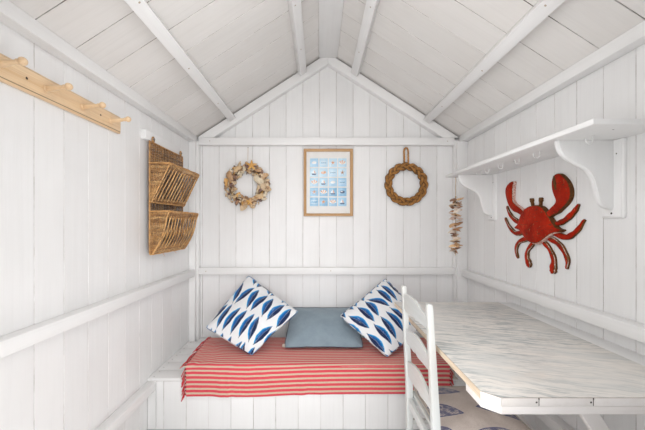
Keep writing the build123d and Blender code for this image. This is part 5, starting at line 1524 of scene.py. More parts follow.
def weave(place, nu, nv, rw, rs, u0=0.0, u1=1.0, v0=0.0, v1=1.0, seg=5, stakes=True, stake_v=(0.0, 1.0), dark=0.0, shaded_v=None):
    """Rods woven over stakes: place(u, v, off) gives a point and off lifts it square to the panel. As painted shade, a
    rod is darker where it dips behind a stake and inside a given span of heights, and dark lowers the tints of rods and
    stakes.
    """
    for j in range(nv):
        v = v0 + (v1 - v0) * (j + 0.5) / nv
        lift = [rng.uniform(-0.10, 0.10) / nv * (v1 - v0) for _ in range(nu * 2 + 1)]
        pts = []
        for i in range(nu * 2 + 1):
            w = i / (nu * 2)
            pts.append(place(u0 + (u1 - u0) * w, v + lift[i], (rw + rs) * 0.80 * math.cos(math.pi * (w * nu + j))))
        shaded_row = shaded_v is not None and shaded_v[0] < v < shaded_v[1]
        if j % 3 == 0:
            # gap is painted shade at each stake, where the rod dips behind it
            lot, gap = rng.gauss(0.42 - dark, 0.62), [rng.uniform(-0.05, 1.15) for _ in range(nu + 1)]
        tube(p, pts, rw * rng.uniform(0.78, 1.05), seg, tint=max(-1, min(1, rng.gauss(lot, 0.50))), shade=lambda i, q, gap=gap, d=shaded_row: min(1.0, max(0.0, (gap[i // 2] if i % 2 == 0 else 0.0) + (0.80 if d else 0))))
    if stakes:
        for i in range(nu + 1):
            u = u0 + (u1 - u0) * i / nu
            pts = [place(u + rng.uniform(-0.001, 0.001), stake_v[0] + (stake_v[1] - stake_v[0]) * q / 10, rng.uniform(-0.0003, 0.0003)) for q in range(11)]
            tube(p, pts, rs, 6, tint=max(-1, min(1, rng.gauss(0.1 - dark, 0.4))))


def wrap(pts, r_core, r_wrap, pitch, tint=0.3):
    """A rod bound along its length with a thin split rod."""
    tube(p, pts, r_core, 7, tint=tint)
    fine = smooth_path(pts, 6)
    path, run = [], 0.0
    side = None
    for i, q in enumerate(fine):
        d = (fine[min(i + 1, len(fine) - 1)] - fine[max(i - 1, 0)]).normalized()
        side = d.orthogonal().normalized() if side is None else (side - d * side.dot(d)).normalized()
        if i:
            run += (q - fine[i - 1]).length
        a = math.tau * run / pitch
        path.append(q + side * ((r_core + r_wrap * 0.5) * math.cos(a)) + d.cross(side) * ((r_core + r_wrap * 0.5) * math.sin(a)))
    tube(p, path, r_wrap, 5, tint=tint + 0.2)


# the back panel
BZ0, BZ1 = F + 1.004, F + 1.628
# painted shade: the back panel's rods are tinted darker, and darker still below 0.8 of its height, behind the pockets
weave(lambda u, v, off: Vector((BX + off, BY0 + 0.004 + (BY1 - BY0 - 0.008) * u, BZ0 + (BZ1 - BZ0) * v)), 20, 124, 0.0020, 0.0021, seg=5, dark=0.50, shaded_v=(0.0, 0.80))
for y in (BY0 + 0.003, BY1 - 0.003):
    wrap([Vector((BX, y, BZ0 + (BZ1 - BZ0) * i / 24)) for i in range(25)], 0.0046, 0.0013, 0.018, 0.35)
wrap([Vector((BX, BY0 + (BY1 - BY0) * i / 18, BZ1)) for i in range(19)], 0.0042, 0.0014, 0.010, 0.1)

for z_rim, z_low, deep, foot, bulge in ((F + 1.504, F + 1.290, 0.118, 0.015, 0.0), (F + 1.235, F + 1.000, 0.112, 0.021, 0.017)):
    def front_x(v, deep=deep, foot=foot, bulge=bulge):
        return BX - 0.004 + foot + (deep - foot) * v + bulge * math.sin(math.pi * min(1.0, v * 1.15)) * (1 - 0.25 * v)

    def zz(v, z_rim=z_rim, z_low=z_low):
        return z_low + (z_rim - z_low) * v

    slope = Vector((z_rim - z_low, 0, -(deep - foot))).normalized()
    for y, s in ((BY0 + 0.003, -1), (BY1 - 0.003, 1)):
        # painted light and shade: the near side panel's rods are tinted lighter, the far one's darker and shaded below
        # 0.9 of its height
        weave(lambda u, v, off, y=y, s=s: Vector((BX + 0.004 + (front_x(v) - BX - 0.006) * u, y + s * off, zz(v))), 8, 44, 0.0020, 0.0019, dark=-0.30 if s < 0 else 0.80, shaded_v=None if s < 0 else (0.0, 0.9))
    # woven bands at the rim and foot of the front, and open crossing rods between
    width = BY1 - BY0 - 0.006

    def front(u, v, off):
        return Vector((front_x(v), BY0 + 0.003 + width * u, zz(v))) + slope * off

    weave(front, 22, 6, 0.0023, 0.0020, v0=0.865, v1=0.985, stake_v=(0.84, 1.0), dark=0.05)
    weave(front, 22, 5, 0.0023, 0.0020, v0=0.010, v1=0.105, stake_v=(0.0, 0.13), dark=0.05)
    many = 11
    for i in range(many):
        u = (i + 0.5) / many
        for s in (-1, 1) if bulge else (1,):
            for twin in (0, 1):
                drift = s * (0.050 if bulge else 0.016)
                pts = []
                for q in range(11):
                    w = q / 10
                    uu = u + drift * (w - 0.5) * 2 + twin * 0.0125 * s + 0.005 * math.sin(w * 7 + i * 1.7) * (0.5 + twin)
                    uu = max(0.006, min(0.994, uu))
                    pts.append(front(uu, 0.05 + 0.85 * w, s * 0.0020 + twin * 0.0004))
                tube(p, pts, rng.uniform(0.0020, 0.0026) if not bulge else rng.uniform(0.0017, 0.0022), 6, tint=max(-1, min(1, rng.gauss(0.60, 0.45))))
    # corner posts, rim and foot rods
    for y in (BY0 + 0.002, BY1 - 0.002):
        wrap([Vector((front_x(i / 14) + 0.001, y, zz(i / 14))) for i in range(15)], 0.0040, 0.0012, 0.020, 0.45)
    for v, r in ((1.0, 0.0038), (0.0, 0.0042)):
        xf = front_x(v)
        pts = [Vector((BX + 0.002, BY0, zz(v))), Vector((BX + (xf - BX) * 0.5, BY0 - 0.001, zz(v) + 0.001)), Vector((xf - 0.008, BY0, zz(v))), Vector((xf, BY0 + 0.008, zz(v)))]
        pts += [Vector((xf + 0.0015 * math.sin(i * 1.3), BY0 + width * i / 12, zz(v) + 0.0012 * math.sin(i * 2.1))) for i in range(1, 12)]
        pts += [Vector((xf, BY1 - 0.008, zz(v))), Vector((xf - 0.008, BY1, zz(v))), Vector((BX + (xf - BX) * 0.5, BY1 + 0.001, zz(v))), Vector((BX + 0.002, BY1, zz(v)))]
        wrap(pts, r, 0.0018, 0.0085, 0.25)
        tube(p, [q + Vector((0.001, 0, 0.0048 if v else -0.0046)) for q in pts], 0.0026, 6, tint=0.5)
    # the bottom, laid in rods
    n_b = 3
    for i in range(n_b):
        x = BX + 0.001 + (foot - 0.008) * i / (n_b - 1)
        tube(p, [Vector((x, BY0 + 0.006 + (width - 0.006) * q / 12, zz(0) + 0.0012 * (1 if (q + i) % 2 else -1))) for q in range(13)], 0.0026, 5)
# hanging loops and loose ends
for y in (BY0 + 0.036, BY1 - 0.040):
    base = Vector((BX + 0.002, y, BZ1 + 0.004))
    for r, t in ((0.0024, 0.1), (0.0022, 0.5)):
        ring = [base + Vector((t * 0.006, 0.011 * math.sin(a) * (1 if a < 3.14 else 1), 0.012 - 0.016 * math.cos(a))) for a in [0.35 + i * 5.6 / 14 for i in range(15)]]
        tube(p, ring, r, 6, tint=t)
    tube(p, [base + Vector((0.004, 0.006 * (-1) ** i, -0.004 + i * 0.003)) for i in range(4)], 0.0020, 5, tint=0.3)
for y, z, d in ((0.60, F + 0.999, (0.2, 0.5, -0.9)), (0.74, F + 0.999, (0.35, 0.75, -0.7)), (0.86, F + 1.10, (0.9, 0.4, -0.2)), (0.90, F + 1.13, (0.9, 0.3, 0.15)), (0.52, F + 1.237, (0.7, -0.3, 0.5)), (0.56, F + 1.508, (0.7, -0.5, 0.4))):
    q = Vector((front_x(0.3 if z > F + 1.05 and z < F + 1.2 else 0.0), y, z)) if z < F + 1.2 else Vector((BX + 0.11, y, z))
    d = Vector(d).normalized()
    tube(p, [q - d * 0.01, q + d * 0.012, q + d * 0.024 + Z * 0.001, q + d * 0.034 + Z * 0.004], lambda w: 0.0015 * (1 - 0.5 * w), 5, tint=0.4)
# two screws through the loops into the batten
for y in (BY0 + 0.036, BY1 - 0.040):
    lathe(p, [(0.0022, 0.0), (0.0022, 0.016), (0.0045, 0.0165), (0.0040, 0.0185)], (-IN_X + 0.0285, min(y, 0.893), BZ1 + 0.018), X, 9, mat=1)
p.make("willow_basket", [WILLOW, NAIL], ["wall_basket"], "wicker", angle=60)

# ------------------------------------------------------------- soft goods
def weave_bump(k, g, pitch=0.0011, depth=0.0004, strength=0.7):
    s = 1.0 / pitch
    a = k.noise(k.scaled(g, (s, s * 0.14, 1.0)), 1.0, 2.0)
    b = k.noise(k.scaled(g, (s * 0.14, s, 1.0)), 1.0, 2.0)
    h = k.math("MAXIMUM", a, b)
    return k.bump(h, depth, strength), h


def leaf_cells(k, g, cw, ch, angle, half_l, half_w, spread=0.8, seed=0.0):
    """Leaf shapes in staggered cells. Gives the distance (below 0 inside), across, along and one random number a cell."""
    ca, sa = math.cos(angle), math.sin(angle)
    u = k.math("DIVIDE", k.dot(g, (ca, sa, 0)), cw)
    v = k.math("DIVIDE", k.dot(g, (-sa, ca, 0)), ch)
    row = k.math("FLOOR", v)
    u = k.math("ADD", u, k.math("MULTIPLY", row, 0.37))
    col = k.math("FLOOR", u)
    rnd = k.node("ShaderNodeTexWhiteNoise", {"Vector": k.xyz(col, row, seed)}, out="Value")
    rnd2 = k.node("ShaderNodeTexWhiteNoise", {"Vector": k.xyz(row, col, seed + 3.0)}, out="Value")
    x = k.math("MULTIPLY", k.math("SUBTRACT", k.math("FRACT", u), 0.5), cw)
    y = k.math("MULTIPLY", k.math("SUBTRACT", k.math("FRACT", v), 0.5), ch)
    x = k.math("ADD", x, k.math("MULTIPLY", k.math("SUBTRACT", rnd2, 0.5), cw * 0.16))
    th = k.math("MULTIPLY", k.math("SUBTRACT", rnd, 0.5), spread)
    c, s = k.math("COSINE", th), k.math("SINE", th)
    xr = k.math("SUBTRACT", k.math("MULTIPLY", x, c), k.math("MULTIPLY", y, s))
    yr = k.math("ADD", k.math("MULTIPLY", x, s), k.math("MULTIPLY", y, c))
    t = k.math("DIVIDE", yr, half_l)
    xr = k.math("ADD", xr, k.math("MULTIPLY", k.math("MULTIPLY", t, t), half_w * 0.35))
    body = k.math("SUBTRACT", 1.0, k.math("MULTIPLY", t, t))
    d = k.math("SUBTRACT", k.math("DIVIDE", k.math("ABSOLUTE", xr), half_w), body)
    return d, xr, yr, rnd


def brush_print(name, angle, seed):
    """White cotton with rows of brushed blue leaves."""
    k = Tree(name, Sheen_Weight=0.08)
    g = k.attr("gv", "Vector")
    wob = k.noise(g, 26.0, 3.0, 0.6, out="Color")
    gw = k.vadd(g, k.scaled(k.node("ShaderNodeVectorMath", {0: wob, 1: (0.5, 0.5, 0.5)}, operation="SUBTRACT"), (0.012, 0.012, 0.0)))
    d, x, y, rnd = leaf_cells(k, gw, 0.062, 0.176, angle, 0.084, 0.0230, 0.62, seed)
    ca, sa = math.cos(angle), math.sin(angle)
    streak = k.noise(k.xyz(k.math("MULTIPLY", k.dot(gw, (ca, sa, 0)), 260.0), k.math("MULTIPLY", k.dot(gw, (-sa, ca, 0)), 16.0), seed), 1.0, 3.0, 0.6)
    cloth = k.mix(k.remap(k.noise(g, 9.0, 2.0), 0.35, 0.65), (0.86, 0.86, 0.87), (0.80, 0.81, 0.83))
    ink = k.mix(k.remap(k.math("ADD", k.math("MULTIPLY", x, 55.0), k.math("MULTIPLY", k.math("SUBTRACT", streak, 0.5), 1.6)), -0.35, 0.45), (0.003, 0.016, 0.075), (0.002, 0.120, 0.42))
    ink = k.mix(k.remap(streak, 0.58, 0.64), ink, (0.003, 0.012, 0.050))
    ink = k.mix(k.math("MULTIPLY", k.remap(k.math("ADD", d, k.math("MULTIPLY", streak, 0.25)), -0.24, -0.05), k.remap(x, -0.004, 0.004)), ink, (0.01, 0.36, 0.72))
    hit = k.math("SUBTRACT", 1.0, k.remap(d, -0.03, 0.03))
    hit = k.math("MULTIPLY", hit, k.remap(k.math("ABSOLUTE", k.math("ADD", x, 0.001)), 0.0003, 0.0009, 0.55, 1.0))
    hit = k.math("MULTIPLY", hit, k.remap(streak, 0.30, 0.36, 0.35, 1.0))
    c = k.mix(hit, cloth, ink)
    stem = k.math("MULTIPLY", k.math("SUBTRACT", 1.0, k.remap(k.math("ABSOLUTE", k.math("SUBTRACT", x, 0.001)), 0.0012, 0.0020)), k.remap(y, 0.068, 0.072))
    c = k.mix(stem, c, (0.010, 0.030, 0.11))
    n, h = weave_bump(k, g)
    return k.set(Base_Color=c, Normal=n, Roughness=k.remap(h, 0.3, 0.7, 0.78, 0.9))


def plain_cloth(name, colour, shade, specks=None, pitch=0.0012, cloud=7.0):
    k = Tree(name, Sheen_Weight=0.10)
    g = k.attr("gv", "Vector")
    n, h = weave_bump(k, g, pitch)
    c = k.mix(k.remap(k.noise(g, cloud, 4.0, 0.6), 0.35, 0.68), colour, shade)
    c = k.mix(k.math("MULTIPLY", k.remap(h, 0.52, 0.66), 0.30), c, tuple(x * 0.72 for x in shade))
    if specks:
        s = k.noise(g, 70.0, 2.0, 0.5)
        c = k.mix(k.math("MULTIPLY", k.remap(s, 0.735, 0.76), 0.8), c, specks)
    # painted shade: darker along the seam, where the cloth pinches into the piping
    e = k.attr("edge")
    c = k.mix(k.math("MULTIPLY", k.remap(e, 0.2, 0.9), 0.35), c, tuple(x * 0.5 for x in shade))
    return k.set(Base_Color=c, Normal=n, Roughness=k.remap(h, 0.3, 0.7, 0.8, 0.93))


def linen_print():
    """Natural linen with large leaves drawn in faded blue line and cross strokes."""
    k = Tree("linen_print", Sheen_Weight=0.10)
    g = k.attr("gv", "Vector")
    n, h = weave_bump(k, g, 0.0014, 0.0006)
    cloud = k.noise(g, 8.0, 3.0)
    c = k.mix(k.remap(cloud, 0.35, 0.65), (0.640, 0.560, 0.510), (0.550, 0.470, 0.420))
    c = k.mix(k.math("MULTIPLY", k.remap(h, 0.52, 0.66), 0.35), c, (0.36, 0.30, 0.26))
    ink_n = k.noise(g, 60.0, 3.0, 0.6)
    d, x, y, rnd = leaf_cells(k, g, 0.150, 0.250, 1.25, 0.100, 0.040, 0.45, 11.0)
    line = k.math("SUBTRACT", 1.0, k.remap(k.math("ABSOLUTE", d), 0.045, 0.100))
    inside = k.math("SUBTRACT", 1.0, k.remap(d, -0.06, 0.0))
    vein = k.math("SUBTRACT", 1.0, k.remap(k.math("ABSOLUTE", x), 0.0006, 0.0014))
    ribs = k.math("SINE", k.math("MULTIPLY", k.math("SUBTRACT", y, k.math("MULTIPLY", k.math("ABSOLUTE", x), 0.9)), 620.0))
    wash = k.math("MULTIPLY", inside, k.remap(k.noise(g, 45.0, 2.0), 0.40, 0.54, 0.12, 1.0))
    mark = k.math("MAXIMUM", line, k.math("MULTIPLY", inside, k.math("MAXIMUM", vein, k.math("MULTIPLY", k.remap(ribs, 0.45, 0.8), 0.85))))
    mark = k.math("MAXIMUM", mark, k.math("MULTIPLY", wash, 0.82))
    mark = k.math("MULTIPLY", mark, k.remap(ink_n, 0.30, 0.50, 0.50, 0.95))
    c = k.mix(mark, c, (0.028, 0.048, 0.175))
    return k.set(Base_Color=c, Normal=n, Roughness=k.remap(h, 0.3, 0.7, 0.82, 0.94))


def stripe_cloth():
    """Red and natural stripes woven across, with ribbed threads."""
    k = Tree("striped_throw", Sheen_Weight=0.10)
    g = k.attr("gv", "Vector")
    wav = k.noise(k.scaled(g, (5.0, 1.0, 1.0)), 1.0, 3.0, 0.6)
    v = k.math("ADD", k.dot(g, (0, 1, 0)), k.math("MULTIPLY", k.math("SUBTRACT", wav, 0.5), 0.005))
    edge_n = k.noise(k.scaled(g, (420.0, 300.0, 1.0)), 1.0, 2.0)
    v2 = k.math("ADD", v, k.math("MULTIPLY", k.math("SUBTRACT", edge_n, 0.5), 0.0022))
    wave = k.math("SINE", k.math("MULTIPLY", v2, math.tau / 0.0250))
    red = k.mix(k.remap(k.noise(k.scaled(g, (90.0, 600.0, 1.0)), 1.0, 3.0), 0.3, 0.7), (0.780, 0.088, 0.115), (0.640, 0.054, 0.078))
    tan = k.mix(k.remap(k.noise(k.scaled(g, (120.0, 500.0, 1.0)), 1.0, 3.0), 0.3, 0.7), (0.740, 0.580, 0.440), (0.600, 0.450, 0.330))
    c = k.mix(k.remap(wave, -0.36, -0.10), tan, red)
    rib = k.math("SINE", k.math("MULTIPLY", v2, math.tau / 0.0031))
    cross = k.noise(k.scaled(g, (700.0, 160.0, 1.0)), 1.0, 2.0)
    # painted shade in the troughs between the ribs
    c = k.mix(k.math("MULTIPLY", k.remap(rib, -0.9, -0.3, 1.0, 0.0), 0.30), c, (0.33, 0.05, 0.05))
    h = k.math("ADD", k.math("MULTIPLY", rib, 0.35), k.math("MULTIPLY", cross, 0.8))
    h = k.math("ADD", h, k.math("MULTIPLY", wave, 0.25))
    return k.set(Base_Color=c, Normal=k.bump(h, 0.0009, 0.75), Roughness=k.remap(cross, 0.3, 0.7, 0.82, 0.94))


def yarn(name, a, b):
    k = Tree(name, Sheen_Weight=0.10)
    g = k.attr("gv", "Vector")
    n = k.noise(k.scaled(g, (300.0, 900.0, 1.0)), 1.0, 3.0)
    t = k.remap(k.attr("tint"), -1.0, 1.0)
    c = k.mix(t, a, b)
    c = k.mix(k.remap(n, 0.5, 0.8), c, tuple(x * 0.5 for x in b))
    # edge darkens the yarn as painted shade, used on the fringe knots
    c = k.mix(k.remap(k.attr("edge"), 0.2, 1.0, 0.0, 0.8), c, tuple(x * 0.15 for x in b))
    return k.set(Base_Color=c, Normal=k.bump(n, 0.0005, 0.8), Roughness=k.remap(n, 0.3, 0.7, 0.8, 0.92))


PRINT_A, PRINT_B = brush_print("leaf_print_left", 1.67, 1.0), brush_print("leaf_print_right", 0.07, 7.0)
GREY_CLOTH = plain_cloth("grey_blue_cloth", (0.290, 0.365, 0.420), (0.235, 0.305, 0.360), (0.42, 0.25, 0.12), 0.0012, 9.0)
SEAT_CLOTH = plain_cloth("seat_cloth", (0.62, 0.57, 0.49), (0.54, 0.49, 0.41), None, 0.0014)
LINEN = linen_print()
STRIPES = stripe_cloth()
RED_YARN = yarn("red_yarn", (0.66, 0.050, 0.055), (0.46, 0.022, 0.030))
NAVY_YARN = yarn("navy_piping", (0.014, 0.028, 0.085), (0.010, 0.018, 0.055))
GREY_YARN = yarn("grey_piping", (0.110, 0.125, 0.155), (0.075, 0.085, 0.115))
PALE_YARN = yarn("pale_piping", (0.60, 0.55, 0.48), (0.45, 0.40, 0.34))


def soft_mesh(name, verts, faces, gv, edge, mats, levels=1, thick=0.0):
    """A mesh with its cloth coordinates, given thickness and one subdivision, with nothing left on it."""
    me = bpy.data.meshes.new(name + "_draft")
    me.from_pydata([tuple(v) for v in verts], [], faces)
    for m in mats:
        me.materials.append(m)
    for label, kind, data in (("gv", "FLOAT_VECTOR", gv), ("edge", "FLOAT", edge), ("tint", "FLOAT", [0.0] * len(verts))):
        layer = me.attributes.new(label, kind, "POINT")
        layer.data.foreach_set("vector" if kind == "FLOAT_VECTOR" else "value", np.array(data, dtype=np.float32).ravel())
    o = bpy.data.objects.new(name, me)
    bpy.context.scene.collection.objects.link(o)
    if thick:
        m = o.modifiers.new("thickness", "SOLIDIFY")
        m.thickness, m.offset, m.use_even_offset = thick, 0.0, True
    if levels:
        m = o.modifiers.new("smooth", "SUBSURF")
        m.levels = m.render_levels = levels
    deps = bpy.context.evaluated_depsgraph_get()
    new = bpy.data.meshes.new_from_object(o.evaluated_get(deps), preserve_all_data_layers=True, depsgraph=deps)
    o.modifiers.clear()
    o.data = new
    new.name = name
    new.polygons.foreach_set("use_smooth", [True] * len(new.polygons))
    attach(o, "root")
    return o


def cloth_run(verts, faces, frames, pressure=0.0, gravity=0.0, walls=(), pins=(), tension=18.0, bending=0.4, mass=0.3):
    """Runs the cloth and gives where its points end."""
    me = bpy.data.meshes.new("cloth_draft")
    me.from_pydata([tuple(v) for v in verts], [], faces)
    o = bpy.data.objects.new("cloth_draft", me)
    bpy.context.scene.collection.objects.link(o)
    made = []
    for wv, wf in walls:
        wm = bpy.data.meshes.new("wall_draft")
        wm.from_pydata([tuple(v) for v in wv], [], wf)
        w = bpy.data.objects.new("wall_draft", wm)
        bpy.context.scene.collection.objects.link(w)
        w.modifiers.new("Collision", "COLLISION")
        w.collision.thickness_outer = 0.0016
        w.collision.cloth_friction = 12.0
        made.append(w)
    m = o.modifiers.new("Cloth", "CLOTH")
    s = m.settings
    s.quality, s.mass, s.air_damping = 6, mass, 2.0
    s.tension_stiffness = s.compression_stiffness = tension
    s.shear_stiffness, s.bending_stiffness = tension * 0.4, bending
    s.effector_weights.gravity = gravity
    if pressure:
        s.use_pressure, s.uniform_pressure_force = True, pressure
    m.collision_settings.use_collision = bool(walls)
    m.collision_settings.distance_min = 0.0016
    m.collision_settings.use_self_collision = False
    if pins:
        vg = o.vertex_groups.new(name="held")
        vg.add(list(pins), 1.0, "REPLACE")
        s.vertex_group_mass = "held"
    m.point_cache.frame_start, m.point_cache.frame_end = 1, frames
    sc = bpy.context.scene
    sc.frame_start, sc.frame_end = 1, max(frames, 2)
    for f in range(1, frames + 1):
        sc.frame_set(f)
    deps = bpy.context.evaluated_depsgraph_get()
    em = o.evaluated_get(deps).to_mesh()
    out = [v.co.copy() for v in em.vertices]
    o.evaluated_get(deps).to_mesh_clear()
    for x in [o] + made:
        bpy.data.objects.remove(x, do_unlink=True)
    sc.frame_set(1)
    return out


def pillow(w, h, thick, seed, pull=0.10, cell=0.0105, pressure=5.0):
    """Two panels sewn round the edge and filled. Gives points in -1 to 1 with their height, the faces, flat coordinates and seam loop."""
    rng = random.Random(seed)
    nx, ny = round(w / cell), round(h / cell)
    pts, index, flat, rim = [], {}, [], []
    for side in (1, -1):
        for j in range(ny + 1):
            for i in range(nx + 1):
                edge = i in (0, nx) or j in (0, ny)
                key = (i, j, 0 if edge else side)
                if key in index:
                    continue
                u, v = i / nx * 2 - 1, j / ny * 2 - 1
                lift = 0.0 if edge else side * 0.012 * math.sqrt((1 - u * u) * (1 - v * v)) + rng.uniform(-0.0008, 0.0008)
                index[key] = len(pts)
                pts.append(Vector((u * w / 2, v * h / 2, lift)))
                flat.append((u * w / 2, v * h / 2, 0.0 if edge else side * 0.0005))
                rim.append(1.0 if edge else 0.0)
    faces = []

    def at(i, j, side):
        return index[(i, j, 0 if i in (0, nx) or j in (0, ny) else side)]

    for side in (1, -1):
        for j in range(ny):
            for i in range(nx):
                q = (at(i, j, side), at(i + 1, j, side), at(i + 1, j + 1, side), at(i, j + 1, side))
                faces.append(q if side > 0 else q[::-1])
    done = cloth_run(pts, faces, 24, pressure=pressure, tension=16.0, bending=0.25)
    cx = sum(abs(done[at(i, j, 1)].x) for i in (0, nx) for j in (0, ny)) / 4
    cy = sum(abs(done[at(i, j, 1)].y) for i in (0, nx) for j in (0, ny)) / 4
    top = max(abs(q.z) for q in done)
    # the filling keeps the sides straighter than two empty panels would blow up to
    even = []
    for q, (fu, fv, _) in zip(done, flat):
        u, v = fu / (w / 2), fv / (h / 2)
        soft = 1 - 0.030 * (abs(u) * abs(v)) ** 7
        even.append(Vector(((u + (q.x / cx - u) * pull) * soft, (v + (q.y / cy - v) * pull) * soft, q.z / top * thick / 2)))
    done = even
    loop = [at(i, 0, 1) for i in range(nx)] + [at(nx, j, 1) for j in range(ny)] + [at(i, ny, 1) for i in range(nx, 0, -1)] + [at(0, j, 1) for j in range(ny, 0, -1)]
    return done, faces, flat, rim, loop


def placed(points, corners, bow=0.0, floor=None, wall=None):
    """Sets pillow points on the seam whose corners are given bottom, right, top, left; bow bends it back."""
    a, b, c, d = [Vector((x / 1000, y / 1000, F + z / 1000)) for x, y, z in corners]
    out = []
    for q in points:
        u, v = (q.x + 1) / 2, (q.y + 1) / 2
        base = a * (1 - u) * (1 - v) + b * u * (1 - v) + c * u * v + d * (1 - u) * v
        du = (b - a) * (1 - v) + (c - d) * v
        dv = (d - a) * (1 - u) + (c - b) * u
        n = du.cross(dv).normalized()
        r = base + n * (q.z - bow * (1 - q.x * q.x) * (1 - q.y * q.y))
        if floor is not None and r.z < floor:
            r.z = floor + (r.z - floor) * 0.02
        if wall is not None and r.y > wall:
            r.y = wall + (r.y - wall) * 0.02
        out.append(r)
    return out


THROW_Z = F + 0.3752
for name, node, corners, size, thick, seed, mats, bow, slot, fill, piping in (
    ("printed_cushion_left", "cushion_left", ((-474, 612, 379), (-204, 866, 577), (-604, 1134, 780), (-811, 796, 489)), (0.43, 0.43), 0.124, 5, [PRINT_A, PRINT_A], 0.012, "blue_print_cloth", 0.75, 0.0016),
    ("plain_cushion", "cushion_middle", ((-293, 716, 388), (213, 716, 388), (205, 1184, 524), (-285, 1184, 524)), (0.51, 0.46), 0.088, 9, [GREY_CLOTH, GREY_YARN], -0.012, "grey_blue_cloth", 0.45, 0.0022),
    ("printed_cushion_right", "cushion_right", ((332, 586, 379), (664, 817, 529), (434, 1134, 757), (67, 867, 545)), (0.43, 0.43), 0.124, 13, [PRINT_B, PRINT_B], 0.012, "blue_print_cloth", 0.75, 0.0016),
):
    pts, faces, flat, rim, loop = pillow(size[0], size[1], thick, seed)
    world = placed(pts, corners, bow, THROW_Z, 1.1955)
    o = soft_mesh(name, world, faces, flat, rim, mats[:1])
    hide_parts(node)
    p = Part(seed)
    tube(p, [world[i] for i in loop], piping, 6, closed=True, tint=0.0)
    if node == "cushion_middle":
        q = world[loop[0]]
        prism(p, [(-0.016, -0.002), (0.003, -0.003), (0.003, 0.017), (-0.015, 0.015)], X, Z, Y, -0.0008, 0.0008, origin=(q.x - 0.002, q.y + 0.001, q.z + 0.004), r=0.001, b=0.0003, mat=1)
    e = p.make(name + "_edge", [mats[1], PALE_YARN], (), slot, angle=70)

# the chair's cushion
pts, faces, flat, rim, loop = pillow(0.36, 0.38, 0.062, 17)
SEAT_TOP = F + 0.3788
world = []
for q in pts:
    z = SEAT_TOP + 0.021 + q.z * (1.12 if q.z > 0 else 0.68)
    world.append(Vector((0.547 + q.x * 0.1745, 0.024 + q.y * 0.1845, max(z, SEAT_TOP + 0.0004 + 0.02 * min(0, z - SEAT_TOP)))))
o = soft_mesh("linen_seat_cushion", world, faces, flat, rim, [LINEN])
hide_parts("chair_cushion")
p = Part(18)
tube(p, [world[i] for i in loop], 0.0030, 7, closed=True, tint=0.0)
p.make("linen_seat_cushion_edge", [PALE_YARN], (), "linen_cloth", angle=70)

# the bench pad: a boxed cushion with bowed sides and corded seams
PX0, PX1, PY0, PY1, PZ0, PZ1 = -0.8345, 0.6995, 0.5256, 0.9545, F + 0.2885, F + 0.3672
sections, grains = [], []
nx, ny, nz = 60, 18, 5
verts, index, flat, rim, faces = [], {}, [], [], []


def pad_point(i, j, k3):
    u, v, w = i / nx, j / ny, k3 / nz
    bulge = 0.006 * math.sin(math.pi * w)
    ex = max(0.0, abs(u - 0.5) * 2 * (PX1 - PX0) / 2 - ((PX1 - PX0) / 2 - 0.03)) / 0.03
    ey = max(0.0, abs(v - 0.5) * 2 * (PY1 - PY0) / 2 - ((PY1 - PY0) / 2 - 0.03)) / 0.03
    x, y = PX0 + (PX1 - PX0) * u, PY0 + (PY1 - PY0) * v
    shrink = 0.006 * (1 - math.sin(math.pi * w))
    cx, cy = (PX0 + PX1) / 2, (PY0 + PY1) / 2
    corner = min(ex, 1) * min(ey, 1)
    x += math.copysign(min(1, ex) * (-shrink) - 0.009 * corner, x - cx)
    y += math.copysign(min(1, ey) * (-shrink) - 0.009 * corner, y - cy)
    z = PZ0 + (PZ1 - PZ0) * w
    if k3 == nz:
        z -= 0.006 * max(min(1, ex), min(1, ey)) ** 2
        z += 0.0008 * noise.noise(Vector((x * 7, y * 7, 3)))
        z = min(z, PZ1)
    return Vector((x, y, z))


def pad_at(i, j, k3):
    key = (i, j, k3)
    if key not in index:
        index[key] = len(verts)
        q = pad_point(i, j, k3)
        verts.append(q)
        flat.append((q.x, q.y + (q.z - PZ0 if j == 0 else PZ0 - q.z if j == ny else 0), q.z if i in (0, nx) else 0.0))
        rim.append(0.0)
    return index[key]


for k3 in (0, nz):
    for j in range(ny):
        for i in range(nx):
            q = (pad_at(i, j, k3), pad_at(i + 1, j, k3), pad_at(i + 1, j + 1, k3), pad_at(i, j + 1, k3))
            faces.append(q if k3 else q[::-1])
ring_ij = [(i, 0) for i in range(nx)] + [(nx, j) for j in range(ny)] + [(i, ny) for i in range(nx, 0, -1)] + [(0, j) for j in range(ny, 0, -1)]
for k3 in range(nz):
    for a in range(len(ring_ij)):
        (i0, j0), (i1, j1) = ring_ij[a], ring_ij[(a + 1) % len(ring_ij)]
        faces.append((pad_at(i0, j0, k3), pad_at(i1, j1, k3), pad_at(i1, j1, k3 + 1), pad_at(i0, j0, k3 + 1)))
o = soft_mesh("bench_seat_pad", verts, faces, flat, rim, [SEAT_CLOTH])
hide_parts("bench_pad")
p = Part(19)
for k3 in (0, nz):
    tube(p, [pad_point(i, j, k3) + Z * (0.0022 if k3 == 0 else -0.0012) for i, j in ring_ij], 0.0028, 6, closed=True, tint=0.0)
p.make("bench_seat_pad_edge", [SEAT_CLOTH], (), "seat_cloth", angle=70)
pad_faces, pad_verts = list(faces), [v.copy() for v in verts]

# the striped throw over the pad
TX0, TX1 = -0.826, 0.674
BACK, TOPZ, FRONT_Y, R = 0.022, F + 0.3712, 0.5198, 0.013
nx, ny = 125, 55


def profile(s, hem):
    """From the back hem up, over the top and down the front: s in metres from the back hem. Gives y and z."""
    if s < BACK:
        return 0.9600, TOPZ - 0.004 - (BACK - s)
    s -= BACK
    flat_len = 0.9560 - (FRONT_Y + R)
    if s < flat_len:
        return 0.9560 - s, TOPZ
    s -= flat_len
    arc = R * math.pi / 2
    if s < arc:
        a = s / R
        return FRONT_Y + R - R * math.sin(a), TOPZ - R + R * math.cos(a)
    return FRONT_Y, TOPZ - R - (s - arc)


